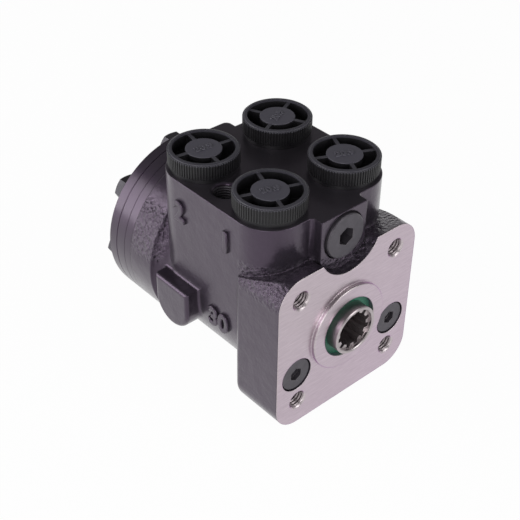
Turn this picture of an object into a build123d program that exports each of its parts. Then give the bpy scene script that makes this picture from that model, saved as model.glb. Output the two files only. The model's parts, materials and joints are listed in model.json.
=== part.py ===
from math import asin, atan2, cos, degrees, hypot, pi, radians, sin, sqrt
import os

from build123d import *

# Orbital steering unit: a spool valve with a gerotor metering set behind it.
# Units are millimetres. The shaft axis is Y and runs rearwards from the mounting
# face (y = 0). X is to the right seen from the shaft end, Z is up to the ports.

# --- Mounting flange -------------------------------------------------------
FLANGE_HALF_W = 42.2
FLANGE_BOTTOM = -42.6
FLANGE_TOP = 41.2
FLANGE_CORNER = 13.0
FLANGE_DEPTH = 29.0
SHOULDER_DROP = 9.5
MOUNT_HALF_PITCH = 29.17
MOUNT_DRILL_R = 4.25
MOUNT_DEPTH = 20.0
MOUNT_CHAMFER = 0.8
RING_R = 22.05
RING_PROUD = 2.1

# --- Barrel and rear flange ------------------------------------------------
BARREL_R = 39.6
HOUSING_LENGTH = 104.0
DISC_R = 45.0
REAR_FLANGE_THICK = 16.0
REAR_FLARE = 8.0
CAST_FILLET = 3.0
GALLERY_DEPTH = 3.0
GALLERY_WIDTH = 4.0
CAST_VALLEY = 2.0
CAST_ROOT = 1.5

CHANNEL_WALL = 4.6
CHANNEL_R = 2.2
CHANNEL_DEPTH = 14.0

# --- Port block, its sides flush with the barrel ---------------------------
BLOCK_TOP = 59.3
PORT_HALF_X = 22.2
FRONT_PORT_Y = 28.7
REAR_PORT_Y = 73.1
PORT_CORNER_R = BARREL_R - PORT_HALF_X
PORT_DRILL_R = 9.5
PORT_DEPTH = 16.0
PORT_FEED_R = 5.5
PORT_MOUTH_STEP = 1.0
PORT_MOUTH_R = PORT_DRILL_R + PORT_MOUTH_STEP
PORT_MOUTH_DEPTH = 2.6
REAR_PAD_HALF_W = 11.0
REAR_PAD_SETBACK = 7.5
REAR_PAD_ROUND = 3.0
LS_X = -28.0
LS_Y = 51.0
LS_DRILL_R = 5.72
LS_DEPTH = 12.5
LS_FEED_R = 2.0
LS_CHAMFER = 0.9

# --- Side boss -------------------------------------------------------------
SIDE_BOSS_FRONT = 57.5
SIDE_BOSS_REAR = 81.5
SIDE_BOSS_PROUD = 7.4
SIDE_BOSS_TOP = 5.5
SIDE_BOSS_BOTTOM = -18.5
SIDE_BOSS_ROUND = 11.0
SIDE_BOSS_EDGE = 2.0
SIDE_BOSS_SINK = 3.0
ROOT_BAND = 0.5

# --- Relief valve ----------------------------------------------------------
RELIEF_DROP = 12.0
RELIEF_FACE_Y = 5.4
RELIEF_BOSS_R = 16.5
RELIEF_BOSS_HALF_W = 13.6
NOTCH_R = 18.75
NOTCH_DROP = 9.8
NOTCH_DEPTH = 9.0
RELIEF_HEAD_R = 11.0
RELIEF_HEAD_PROUD = 1.6
RELIEF_HEAD_SEAT = 3.0
RELIEF_THREAD_R = 8.0
RELIEF_THREAD_END = 18.0
RELIEF_BORE_R = 5.0
RELIEF_SEAT_Y = 56.0
RELIEF_SEAT_R = 2.6
RELIEF_SOCKET = 8.0
RELIEF_SOCKET_DEPTH = 6.0
POPPET_LENGTH = 8.0
PLUG_SEAL_THICK = 0.8
SETTING_SCREW_L = 6.0

# --- Shock valves ----------------------------------------------------------
SHOCK_X = 30.3
SHOCK_Z = -12.9
SHOCK_HEAD_R = 8.3
SHOCK_HEAD_SEAT = 4.0
SHOCK_HEAD_SUNK = 0.5
SHOCK_THREAD_R = 6.0
SHOCK_THREAD_END = 17.0
SHOCK_BORE_R = 4.1
SHOCK_SEAT_Y = 50.0
SHOCK_SEAT_R = 2.0
SHOCK_BALL_R = 3.0
SHOCK_SOCKET = 6.0
SHOCK_SOCKET_DEPTH = 2.4

# --- Check valve under the pump port --------------------------------------
CHECK_THREAD_R = 6.6
CHECK_THREAD_DEPTH = 10.0
CHECK_BALL_R = 4.25
CHECK_THROAT_R = 3.0
CHECK_LIFT = 1.5
CHECK_PLAY = 0.4
FEED_BOTTOM = 4.0

# --- Suction valves --------------------------------------------------------
SUCTION_WALL = 7.6
SUCTION_BORE_R = 3.6
SUCTION_BALL_R = 3.3
SUCTION_DEPTH = 26.0
SUCTION_SEAT_R = 2.0
SUCTION_FEED = 8.0
SUCTION_PIN_R = 1.5
SUCTION_LIFT = 1.5

# --- Spool and sleeve ------------------------------------------------------
SPOOL_FRONT = -6.1
NECK_R = 12.2
SPOOL_R = 13.5
SPOOL_REAR_GAP = 1.4
SLEEVE_REAR_GAP = 0.6
SLEEVE_R = 19.0
RUNNING_FIT = 0.03
CARDAN_BORE_R = 10.0
CARDAN_BORE_FRONT = 33.6
SPLINE_TEETH = 12
SPLINE_ROOT_R = 10.3
SPLINE_TIP_R = 8.3
SPLINE_SPACE_W = (2.9, 1.9)
SPLINE_START = -4.3
SPLINE_END = 19.0
MOUTH_R = 10.6
SPOOL_SLOTS = 12
SPOOL_SLOT_W = 2.4
PIN_Y = 41.0
PIN_R = 4.0
PIN_PLAY = 2.3
SPRING_Y = 28.6
SPRING_WIDTH = 6.4
SPRING_SLOT_W = 5.6
SPRING_LEAF = 0.45
SPRING_END_GAP = 1.8

# --- Seals and thrust bearing ----------------------------------------------
DUST_SEAL_SECTION = 3.3
DUST_SEAL_FRONT = 0.4
DUST_SEAL_END = 4.5
NECK_CLEARANCE = 0.8
SHAFT_SEAL_FRONT = 6.5
SHAFT_SEAL_END = 11.0
SHAFT_SEAL_SECTION = 4.8
BEARING_FRONT = 15.5
RACE_THICK = 2.4
CAGE_THICK = 3.0
RACE_BORE_GAP = 0.4
RACE_RIM_GAP = 0.6
NEEDLES = 16
NEEDLE_R = 1.4

# --- Gerotor set -----------------------------------------------------------
LOBE_CIRCLE_R = 36.0
LOBE_R = 7.5
ORBIT = 3.0
ROTOR_TEETH = 6
RIM_LOBES = ROTOR_TEETH + 1
GEAR_WIDTH = 6.5
GEAR_FIT = 0.09
FACE_FIT = 0.02
PLATE_THICK = 5.0
PLATE_BORE_GAP = 0.6
PLATE_PORT_R = 2.4
COVER_THICK = 6.5
ROTOR_SPLINE_ROOT_R = 9.6
ROTOR_SPLINE_TIP_R = 8.0
ROTOR_SPACE_W = (3.2, 2.2)
SPACER_R = 7.5
SPACER_THICK = 2.0

# --- Cardan shaft ----------------------------------------------------------
CARDAN_FRONT_R = 7.4
CARDAN_NECK_R = 5.6
CARDAN_FRONT_GAP = 1.4
SPLINE_GAP = 0.5
FORK_PLAY = 0.5
CARDAN_TOOTH_W = (2.4, 1.4)

# --- Cover bolts -----------------------------------------------------------
BOLT_R = 4.0
BOLT_HOLE_R = 4.3
BOLT_REACH = 16.0
BOLT_AF = 13.0
BOLT_HEAD = 5.3
WASHER_R = 7.4
WASHER_THICK = 1.2
THREAD_FIT = 0.05
BOLT_CROWN_SLOPE = 0.58
SPECIAL_BOLT = 6

# --- Face seals ------------------------------------------------------------
SEAL_GROOVE_WALL = 1.1
SEAL_GROOVE_W = 1.5
SEAL_GROOVE_DEPTH = 1.3

# --- Port caps -------------------------------------------------------------
CAP_R = 16.5
CAP_LIP = 1.1
CAP_TURNS = (20, 10, 25, 60)
CAP_HEIGHT = 9.9
CAP_COLLAR_STEP = 0.9
CAP_COLLAR = 1.9
CAP_WALL = 2.5
CAP_FLOOR = 2.6
CAP_HUB_R = 8.35
CAP_HUB_SUNK = 0.7
CAP_SPOKE = 2.2
CAP_SHANK_FIT = 0.1
CAP_SHANK = 2.4
CAP_RIB_DEPTH = 0.45

BALL_GAP = 0.05

# --- Sizes that follow from the ones above ---------------------------------
SAME_PLACE = 0.1
CUT_OVER = 0.4
REAR = (0, 1, 0)
LOBE_STEP = 360 / RIM_LOBES
TOOTH_STEP = 360 / SPLINE_TEETH
DRAIN_Y = LS_Y + 6
GALLERIES = (FRONT_PORT_Y + 18, DRAIN_Y, REAR_PORT_Y, REAR_PORT_Y + 12)
REAR_FLANGE_START = HOUSING_LENGTH - REAR_FLANGE_THICK
REAR_PAD_Y = HOUSING_LENGTH - REAR_PAD_SETBACK
RELIEF_Z = BLOCK_TOP - RELIEF_DROP
NOTCH_Z = BLOCK_TOP - NOTCH_DROP
CHANNEL_RADIUS = SLEEVE_R + CHANNEL_WALL
SUCTION_RADIUS = SLEEVE_R + SUCTION_WALL
SPOOL_END = HOUSING_LENGTH - SPOOL_REAR_GAP
SLEEVE_END = HOUSING_LENGTH - SLEEVE_REAR_GAP
SEAL_BORE_R = NECK_R + DUST_SEAL_SECTION
LIP_BORE_R = NECK_R + NECK_CLEARANCE
SHAFT_SEAL_R = NECK_R + SHAFT_SEAL_SECTION
RACE_BORE_R = NECK_R + RACE_BORE_GAP
RACE_R = SLEEVE_R - RACE_RIM_GAP
CARDAN_HEAD_R = ROTOR_SPLINE_ROOT_R - SPLINE_GAP
CARDAN_HEAD_ROOT_R = ROTOR_SPLINE_TIP_R - SPLINE_GAP
SEAL_GROOVE_OUT = DISC_R - SEAL_GROOVE_WALL
SEAL_GROOVE_IN = SEAL_GROOVE_OUT - SEAL_GROOVE_W

def seat_height(ball_r, seat_r):
    """Distance from a round seat edge to the centre of a ball lying on it."""
    return sqrt(ball_r**2 - seat_r**2)


CHECK_CHAMBER_DEPTH = 2 * seat_height(CHECK_BALL_R, CHECK_THROAT_R) + CHECK_LIFT + 2 * BALL_GAP
SLEEVE_FRONT = BEARING_FRONT + 2 * RACE_THICK + CAGE_THICK
NECK_END = SLEEVE_FRONT + 0.1

PLATE_Y = HOUSING_LENGTH
RIM_Y = PLATE_Y + PLATE_THICK
COVER_Y = RIM_Y + GEAR_WIDTH
COVER_END = COVER_Y + COVER_THICK


def across(y):
    """Plane across the shaft at y: local x is +X, local y is +Z."""
    return Plane(origin=(0, y, 0), x_dir=(1, 0, 0), z_dir=(0, -1, 0))


def upright(x, y):
    """Plane through a vertical axis at (x, y): local x is +X, local y is +Z."""
    return Plane(origin=(x, y, 0), x_dir=(1, 0, 0), z_dir=(0, -1, 0))


def along(x, z):
    """Plane through an axis parallel to the shaft: local x is +X, local y is +Y."""
    return Plane(origin=(x, 0, z), x_dir=(1, 0, 0), z_dir=(0, 0, 1))


def polar(radius, angle):
    """Point at an angle in degrees, in the plane of an across() sketch."""
    return (radius * cos(radians(angle)), radius * sin(radians(angle)))


def finish(part, label):
    """Name a finished piece and write its STEP file."""
    part.label = label
    export_step(part, f"parts/{label}.step")


os.makedirs("parts", exist_ok=True)

# The cover bolts pass through the middles of the rim's lobes.
bolt_points = [polar(LOBE_CIRCLE_R, 90 + k * LOBE_STEP) for k in range(RIM_LOBES)]
pocket_angles = [90 + (k + 0.5) * LOBE_STEP for k in range(RIM_LOBES)]
suction_angles = [90 + 2 * LOBE_STEP, 90 - 2 * LOBE_STEP]
mount_points = [(sx * MOUNT_HALF_PITCH, sz * MOUNT_HALF_PITCH) for sx in (-1, 1) for sz in (-1, 1)]
port_points = {
    "left": (-PORT_HALF_X, FRONT_PORT_Y),
    "right": (-PORT_HALF_X, REAR_PORT_Y),
    "pump": (PORT_HALF_X, FRONT_PORT_Y),
    "tank": (PORT_HALF_X, REAR_PORT_Y),
}

# --- Housing ---------------------------------------------------------------
with BuildPart() as housing:
    # Mounting block with its sloping shoulder.
    with BuildSketch(across(0)):
        with Locations((0, (FLANGE_TOP + FLANGE_BOTTOM) / 2)):
            RectangleRounded(2 * FLANGE_HALF_W, FLANGE_TOP - FLANGE_BOTTOM, FLANGE_CORNER)
    extrude(amount=FLANGE_DEPTH, dir=REAR)
    with BuildSketch(Plane.YZ):
        with BuildLine():
            Polyline(
                (0, FLANGE_TOP),
                (FLANGE_DEPTH, FLANGE_TOP - SHOULDER_DROP),
                (FLANGE_DEPTH, FLANGE_TOP + 1),
                (0, FLANGE_TOP + 1),
                close=True,
            )
        make_face()
    extrude(amount=FLANGE_HALF_W + 1, both=True, mode=Mode.SUBTRACT)
    back_edges = housing.edges().group_by(Axis.Y)[-1]
    fillet(back_edges.filter_by(lambda e: e.center().Z < FLANGE_TOP - SHOULDER_DROP - 1), CAST_FILLET)

    # Barrel round the valve bore and the flared flange behind it.
    with BuildSketch(Plane.XY):
        with BuildLine():
            Polyline((0, 1), (BARREL_R, 1), (BARREL_R, REAR_FLANGE_START - REAR_FLARE))
            flare_start = (BARREL_R, REAR_FLANGE_START - REAR_FLARE)
            TangentArc(flare_start, (DISC_R, REAR_FLANGE_START), tangent=(0, 1))
            Polyline(
                (DISC_R, REAR_FLANGE_START),
                (DISC_R, HOUSING_LENGTH),
                (0, HOUSING_LENGTH),
                (0, 1),
            )
        make_face()
    revolve(axis=Axis.Y)

    # Port block, its corners concentric with the ports.
    with BuildSketch(Plane.XY):
        with Locations(*port_points.values()):
            Circle(PORT_CORNER_R)
        with Locations((0, (FRONT_PORT_Y + REAR_PORT_Y) / 2)):
            Rectangle(2 * BARREL_R, REAR_PORT_Y - FRONT_PORT_Y)
            Rectangle(2 * PORT_HALF_X, REAR_PORT_Y - FRONT_PORT_Y + 2 * PORT_CORNER_R)
    extrude(amount=BLOCK_TOP)
    with BuildSketch(Plane.XY):
        with Locations((0, (REAR_PORT_Y + REAR_PAD_Y) / 2)):
            RectangleRounded(2 * REAR_PAD_HALF_W, REAR_PAD_Y - REAR_PORT_Y, REAR_PAD_ROUND)
    extrude(amount=BLOCK_TOP)

    # Side boss, flat on top and round below.
    with BuildSketch(Plane.YZ.offset(-BARREL_R + SIDE_BOSS_SINK)):
        with BuildLine():
            Polyline(
                (SIDE_BOSS_FRONT, SIDE_BOSS_BOTTOM + SIDE_BOSS_ROUND),
                (SIDE_BOSS_FRONT, SIDE_BOSS_TOP),
                (SIDE_BOSS_REAR, SIDE_BOSS_TOP),
                (SIDE_BOSS_REAR, SIDE_BOSS_BOTTOM + SIDE_BOSS_ROUND),
            )
            ThreePointArc(
                (SIDE_BOSS_REAR, SIDE_BOSS_BOTTOM + SIDE_BOSS_ROUND),
                ((SIDE_BOSS_FRONT + SIDE_BOSS_REAR) / 2, SIDE_BOSS_BOTTOM),
                (SIDE_BOSS_FRONT, SIDE_BOSS_BOTTOM + SIDE_BOSS_ROUND),
            )
        make_face()
    extrude(amount=-(SIDE_BOSS_PROUD + SIDE_BOSS_SINK))
    boss_face = housing.faces().sort_by(Axis.X)[0]
    fillet(boss_face.edges(), SIDE_BOSS_EDGE)

    # Notch in the flange and the relief-valve boss that stands in it.
    with BuildSketch(across(0)):
        with Locations((0, NOTCH_Z)):
            Circle(NOTCH_R)
    extrude(amount=NOTCH_DEPTH, dir=REAR, mode=Mode.SUBTRACT)
    with BuildSketch(across(RELIEF_FACE_Y)):
        with Locations((0, RELIEF_Z)):
            Circle(RELIEF_BOSS_R)
        with Locations((0, (RELIEF_Z + BLOCK_TOP) / 2)):
            Rectangle(2 * RELIEF_BOSS_R, BLOCK_TOP - RELIEF_Z)
        with Locations((0, RELIEF_Z)):
            Rectangle(2 * RELIEF_BOSS_HALF_W, 4 * RELIEF_BOSS_R, mode=Mode.INTERSECT)
        with Locations((0, BLOCK_TOP + RELIEF_BOSS_R)):
            Rectangle(4 * RELIEF_BOSS_R, 2 * RELIEF_BOSS_R, mode=Mode.SUBTRACT)
    extrude(amount=FRONT_PORT_Y - RELIEF_FACE_Y, dir=REAR)

    # Cast fillets round the side boss, and where the relief boss meets the port corners.
    boss_roots = [
        e for e in housing.edges()
        if abs(e.center().X + BARREL_R) < SIDE_BOSS_SINK - ROOT_BAND
        and SIDE_BOSS_FRONT - ROOT_BAND < e.center().Y < SIDE_BOSS_REAR + ROOT_BAND
        and SIDE_BOSS_BOTTOM - ROOT_BAND < e.center().Z < SIDE_BOSS_TOP + ROOT_BAND
    ]
    fillet(boss_roots, CAST_ROOT)
    valleys = [
        e for e in housing.edges().filter_by(Axis.Z)
        if abs(abs(e.center().X) - RELIEF_BOSS_HALF_W) < SAME_PLACE
        and RELIEF_FACE_Y + SAME_PLACE < e.center().Y < FRONT_PORT_Y
        and e.center().Z > RELIEF_Z
    ]
    fillet(valleys, CAST_VALLEY)

    # Raised spigot ring on the mounting face.
    with BuildSketch(across(0)):
        Circle(RING_R)
    extrude(amount=RING_PROUD)
    chamfer(housing.edges().group_by(Axis.Y)[0], 0.4)

    # Valve bore, seal seats and the annular galleries.
    with BuildSketch(Plane.XY):
        with BuildLine():
            Polyline(
                (0, -RING_PROUD),
                (SEAL_BORE_R, -RING_PROUD),
                (SEAL_BORE_R, DUST_SEAL_END),
                (LIP_BORE_R, DUST_SEAL_END),
                (LIP_BORE_R, SHAFT_SEAL_FRONT),
                (SHAFT_SEAL_R, SHAFT_SEAL_FRONT),
                (SHAFT_SEAL_R, SHAFT_SEAL_END),
                (LIP_BORE_R, SHAFT_SEAL_END),
                (LIP_BORE_R, BEARING_FRONT),
                (SLEEVE_R + RUNNING_FIT, BEARING_FRONT),
                (SLEEVE_R + RUNNING_FIT, HOUSING_LENGTH),
                (0, HOUSING_LENGTH),
                close=True,
            )
        make_face()
        with Locations(*[(SLEEVE_R, y) for y in GALLERIES]):
            Rectangle(2 * GALLERY_DEPTH, GALLERY_WIDTH)
    revolve(axis=Axis.Y, mode=Mode.SUBTRACT)

    # Tapped holes of the mounting face, the rear face and the ports.
    with BuildSketch(across(0)):
        with Locations(*mount_points):
            Circle(MOUNT_DRILL_R)
    extrude(amount=MOUNT_DEPTH, dir=REAR, mode=Mode.SUBTRACT)
    with Locations(*[across(0).offset(0).location * Location((x, z, 0)) for x, z in mount_points]):
        Cone(MOUNT_DRILL_R, MOUNT_DRILL_R + MOUNT_CHAMFER, MOUNT_CHAMFER,
             align=(Align.CENTER, Align.CENTER, Align.MAX), mode=Mode.SUBTRACT)
    with BuildSketch(across(HOUSING_LENGTH)):
        with Locations(*bolt_points):
            Circle(BOLT_R + THREAD_FIT)
    extrude(amount=BOLT_REACH + 2, mode=Mode.SUBTRACT)
    with BuildSketch(Plane.XY.offset(BLOCK_TOP)):
        with Locations(*port_points.values()):
            Circle(PORT_DRILL_R)
    extrude(amount=-PORT_DEPTH, mode=Mode.SUBTRACT)
    with BuildSketch(Plane.XY.offset(BLOCK_TOP)):
        with Locations(*port_points.values()):
            Circle(PORT_MOUTH_R)
    extrude(amount=-PORT_MOUTH_DEPTH, mode=Mode.SUBTRACT)
    with BuildSketch(Plane.XY.offset(BLOCK_TOP)):
        with Locations(*[p for name, p in port_points.items() if name != "pump"]):
            Circle(PORT_FEED_R)
    extrude(amount=FEED_BOTTOM - BLOCK_TOP, mode=Mode.SUBTRACT)
    with BuildSketch(Plane.XY.offset(BLOCK_TOP)):
        with Locations((LS_X, LS_Y)):
            Circle(LS_DRILL_R)
    extrude(amount=-LS_DEPTH, mode=Mode.SUBTRACT)
    with Locations((LS_X, LS_Y, BLOCK_TOP)):
        Cone(LS_DRILL_R, LS_DRILL_R + LS_CHAMFER, LS_CHAMFER,
             align=(Align.CENTER, Align.CENTER, Align.MAX), mode=Mode.SUBTRACT)
    with BuildSketch(Plane.XY.offset(BLOCK_TOP)):
        with Locations((LS_X, LS_Y)):
            Circle(LS_FEED_R)
    extrude(amount=-BLOCK_TOP + 12, mode=Mode.SUBTRACT)

    # Check valve below the pump port: bushing thread, ball chamber, feed.
    with BuildSketch(upright(*port_points["pump"])):
        with BuildLine():
            check_top = BLOCK_TOP - PORT_DEPTH
            check_floor = check_top - CHECK_THREAD_DEPTH - CHECK_CHAMBER_DEPTH
            Polyline(
                (0, check_top),
                (CHECK_THREAD_R, check_top),
                (CHECK_THREAD_R, check_top - CHECK_THREAD_DEPTH),
                (CHECK_BALL_R + CHECK_PLAY, check_top - CHECK_THREAD_DEPTH),
                (CHECK_BALL_R + CHECK_PLAY, check_floor),
                (CHECK_THROAT_R, check_floor),
                (CHECK_THROAT_R, FEED_BOTTOM),
                (0, FEED_BOTTOM),
                close=True,
            )
        make_face()
    revolve(axis=Axis((PORT_HALF_X, FRONT_PORT_Y, 0), (0, 0, 1)), mode=Mode.SUBTRACT)

    # Relief valve bore: plug seat, thread, cartridge bore, drain.
    with BuildSketch(along(0, RELIEF_Z)):
        with BuildLine():
            Polyline(
                (0, RELIEF_FACE_Y),
                (RELIEF_HEAD_R + 0.6, RELIEF_FACE_Y),
                (RELIEF_HEAD_R + 0.6, RELIEF_FACE_Y + RELIEF_HEAD_SEAT),
                (RELIEF_THREAD_R + THREAD_FIT, RELIEF_FACE_Y + RELIEF_HEAD_SEAT),
                (RELIEF_THREAD_R + THREAD_FIT, RELIEF_THREAD_END + 1),
                (RELIEF_BORE_R + RUNNING_FIT, RELIEF_THREAD_END + 1),
                (RELIEF_BORE_R + RUNNING_FIT, RELIEF_SEAT_Y),
                (RELIEF_SEAT_R, RELIEF_SEAT_Y),
                (RELIEF_SEAT_R, REAR_PORT_Y),
                (0, REAR_PORT_Y),
                close=True,
            )
        make_face()
    revolve(axis=Axis((0, 0, RELIEF_Z), (0, 1, 0)), mode=Mode.SUBTRACT)

    # Two shock valve bores through the mounting face.
    for side in (-1, 1):
        with BuildSketch(along(side * SHOCK_X, SHOCK_Z)):
            with BuildLine():
                Polyline(
                    (0, 0),
                    (SHOCK_HEAD_R + 0.4, 0),
                    (SHOCK_HEAD_R + 0.4, SHOCK_HEAD_SEAT),
                    (SHOCK_THREAD_R + THREAD_FIT, SHOCK_HEAD_SEAT),
                    (SHOCK_THREAD_R + THREAD_FIT, SHOCK_THREAD_END + 1),
                    (SHOCK_BORE_R, SHOCK_THREAD_END + 1),
                    (SHOCK_BORE_R, SHOCK_SEAT_Y),
                    (SHOCK_SEAT_R, SHOCK_SEAT_Y),
                    (SHOCK_SEAT_R, DRAIN_Y),
                    (0, DRAIN_Y),
                    close=True,
                )
            make_face()
        revolve(axis=Axis((side * SHOCK_X, 0, SHOCK_Z), (0, 1, 0)), mode=Mode.SUBTRACT)

    # Groove of the rear face seal.
    with BuildSketch(across(HOUSING_LENGTH)):
        Circle(SEAL_GROOVE_OUT)
        Circle(SEAL_GROOVE_IN, mode=Mode.SUBTRACT)
    extrude(amount=SEAL_GROOVE_DEPTH, mode=Mode.SUBTRACT)

    # Channels to the gear set and the two suction valve bores.
    with BuildSketch(across(HOUSING_LENGTH)):
        with Locations(*[polar(CHANNEL_RADIUS, a) for a in pocket_angles]):
            Circle(CHANNEL_R)
    extrude(amount=CHANNEL_DEPTH, mode=Mode.SUBTRACT)
    with BuildSketch(across(HOUSING_LENGTH)):
        with Locations(*[polar(SUCTION_RADIUS, a) for a in suction_angles]):
            Circle(SUCTION_BORE_R)
    extrude(amount=SUCTION_DEPTH, mode=Mode.SUBTRACT)
    with BuildSketch(across(HOUSING_LENGTH)):
        with Locations(*[polar(SUCTION_RADIUS, a) for a in suction_angles]):
            Circle(SUCTION_SEAT_R)
    extrude(amount=SUCTION_DEPTH + SUCTION_FEED, mode=Mode.SUBTRACT)
finish(housing.part, "housing")


def ring(y, length, inner_r, outer_r, label):
    """A plain ring round the shaft axis, from y rearwards."""
    with BuildPart() as piece:
        with BuildSketch(across(y)):
            Circle(outer_r)
            Circle(inner_r, mode=Mode.SUBTRACT)
        extrude(amount=length, dir=REAR)
    finish(piece.part, label)


def spline_flank(radius, half_width, angle, side):
    """A point on one flank of a tooth whose middle is at the angle."""
    turn = degrees(asin(half_width / radius))
    return polar(radius, angle + side * turn)


def tooth_outline(inner_r, outer_r, inner_w, outer_w, angle):
    """Four corners of a straight-sided spline tooth or tooth space."""
    return [
        spline_flank(inner_r, inner_w / 2, angle, -1),
        spline_flank(outer_r, outer_w / 2, angle, -1),
        spline_flank(outer_r, outer_w / 2, angle, 1),
        spline_flank(inner_r, inner_w / 2, angle, 1),
    ]


# --- Seals and thrust bearing ----------------------------------------------
SEAL_FIT = 0.05
ring(DUST_SEAL_FRONT, DUST_SEAL_END - DUST_SEAL_FRONT, NECK_R + SEAL_FIT, SEAL_BORE_R - SEAL_FIT, "dust_seal")
ring(SHAFT_SEAL_FRONT + SEAL_FIT, SHAFT_SEAL_END - SHAFT_SEAL_FRONT - 2 * SEAL_FIT,
     NECK_R + SEAL_FIT, SHAFT_SEAL_R - SEAL_FIT, "shaft_seal")
ring(BEARING_FRONT, RACE_THICK, RACE_BORE_R, RACE_R, "bearing_outer_race")
ring(SLEEVE_FRONT - RACE_THICK, RACE_THICK, RACE_BORE_R, RACE_R, "bearing_inner_race")

cage_y = BEARING_FRONT + RACE_THICK + CAGE_THICK / 2
with BuildPart() as needle_cage:
    with BuildSketch(across(cage_y - CAGE_THICK / 2 + 0.6)):
        Circle(RACE_R - 0.5)
        Circle(RACE_BORE_R + 0.6, mode=Mode.SUBTRACT)
    extrude(amount=CAGE_THICK - 1.2, dir=REAR)
    for k in range(NEEDLES):
        angle = 360 * k / NEEDLES
        outwards = Vector(cos(radians(angle)), 0, sin(radians(angle)))
        start = outwards * (RACE_BORE_R + 1.4) + Vector(0, cage_y, 0)
        with BuildSketch(Plane(origin=start, z_dir=outwards)):
            Circle(NEEDLE_R)
        extrude(amount=RACE_R - RACE_BORE_R - 2.6)
finish(needle_cage.part, "needle_cage")

# --- Spool -----------------------------------------------------------------
SPRING_SLOT_L = SPRING_WIDTH + 0.4
with BuildPart() as spool:
    with BuildSketch(Plane.XY):
        with BuildLine():
            Polyline(
                (MOUTH_R, SPOOL_FRONT),
                (NECK_R, SPOOL_FRONT),
                (NECK_R, NECK_END),
                (SPOOL_R, NECK_END),
                (SPOOL_R, SPOOL_END),
                (CARDAN_BORE_R, SPOOL_END),
                (CARDAN_BORE_R, CARDAN_BORE_FRONT),
                (0, CARDAN_BORE_FRONT),
                (0, SPLINE_END),
                (SPLINE_TIP_R, SPLINE_END),
                (SPLINE_TIP_R, SPLINE_START),
                (MOUTH_R, SPLINE_START),
                close=True,
            )
        make_face()
    revolve(axis=Axis.Y)
    front_edges = spool.edges().group_by(Axis.Y)[0]
    chamfer(front_edges, 0.4)
    with BuildSketch(across(SPLINE_START)):
        for k in range(SPLINE_TEETH):
            space_angle = (k + 0.5) * TOOTH_STEP
            with BuildLine():
                Polyline(
                    *tooth_outline(SPLINE_TIP_R - CUT_OVER, SPLINE_ROOT_R, *SPLINE_SPACE_W, space_angle),
                    close=True,
                )
            make_face()
    extrude(amount=SPLINE_END - SPLINE_START - 1.5, dir=REAR, mode=Mode.SUBTRACT)
    # Window for the leaf springs and clearance hole for the cross pin.
    with BuildSketch(Plane.XY):
        with Locations((0, SPRING_Y)):
            Rectangle(SPRING_SLOT_W, SPRING_SLOT_L)
    extrude(amount=SPOOL_R + 1, both=True, mode=Mode.SUBTRACT)
    with BuildSketch(Plane.YZ):
        with Locations((PIN_Y, 0)):
            Circle(PIN_R + PIN_PLAY)
    extrude(amount=SPOOL_R + 1, both=True, mode=Mode.SUBTRACT)
    # Metering slots, alternately towards the front and the rear.
    for k in range(SPOOL_SLOTS):
        angle = (k + 0.5) * 360 / SPOOL_SLOTS
        start, end = ((LS_Y + 3, REAR_PORT_Y + 11), (LS_Y + 11, SPOOL_END - 8.6))[k % 2]
        with BuildSketch(Plane(origin=(0, 0, 0), x_dir=(cos(radians(angle)), 0, sin(radians(angle))),
                               z_dir=(sin(radians(angle)), 0, -cos(radians(angle))))):
            with Locations((SPOOL_R, (start + end) / 2)):
                Rectangle(SPOOL_SLOT_W, end - start)
        extrude(amount=SPOOL_SLOT_W / 2, both=True, mode=Mode.SUBTRACT)
finish(spool.part, "spool")

# --- Sleeve ----------------------------------------------------------------
RING_SEAT_R = SLEEVE_R - 0.8
RING_SEAT_L = 9.4
HOLE_ROWS = (GALLERIES[1], GALLERIES[3])
HOLES_ROUND = 6
with BuildPart() as sleeve:
    with BuildSketch(Plane.XY):
        with BuildLine():
            Polyline(
                (SPOOL_R + RUNNING_FIT, SLEEVE_FRONT),
                (RING_SEAT_R, SLEEVE_FRONT),
                (RING_SEAT_R, SLEEVE_FRONT + RING_SEAT_L),
                (SLEEVE_R, SLEEVE_FRONT + RING_SEAT_L),
                (SLEEVE_R, SLEEVE_END),
                (SPOOL_R + RUNNING_FIT, SLEEVE_END),
                close=True,
            )
        make_face()
    revolve(axis=Axis.Y)
    with BuildSketch(Plane.XY):
        with Locations((0, SPRING_Y)):
            Rectangle(SPRING_SLOT_W, SPRING_SLOT_L)
    extrude(amount=SLEEVE_R + 1, both=True, mode=Mode.SUBTRACT)
    with BuildSketch(Plane.YZ):
        with Locations((PIN_Y, 0)):
            Circle(PIN_R + RUNNING_FIT)
    extrude(amount=SLEEVE_R + 1, both=True, mode=Mode.SUBTRACT)
    for row, y in enumerate(HOLE_ROWS):
        for k in range(HOLES_ROUND):
            angle = (k + row / 2) * 360 / HOLES_ROUND
            outwards = Vector(cos(radians(angle)), 0, sin(radians(angle)))
            with BuildSketch(Plane(origin=outwards * (SPOOL_R - 1) + Vector(0, y, 0), z_dir=outwards)):
                Circle(1.3)
            extrude(amount=SLEEVE_R - SPOOL_R + 2, mode=Mode.SUBTRACT)
finish(sleeve.part, "sleeve")

ring(SLEEVE_FRONT + 0.2, RING_SEAT_L - 0.4, RING_SEAT_R + RUNNING_FIT, SLEEVE_R - 0.1, "spring_ring")

with BuildPart() as cross_pin:
    with BuildSketch(Plane.YZ):
        with Locations((PIN_Y, 0)):
            Circle(PIN_R)
    extrude(amount=SLEEVE_R - 0.4, both=True)
    chamfer(cross_pin.edges().filter_by(GeomType.CIRCLE), 0.5)
finish(cross_pin.part, "cross_pin")

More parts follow.
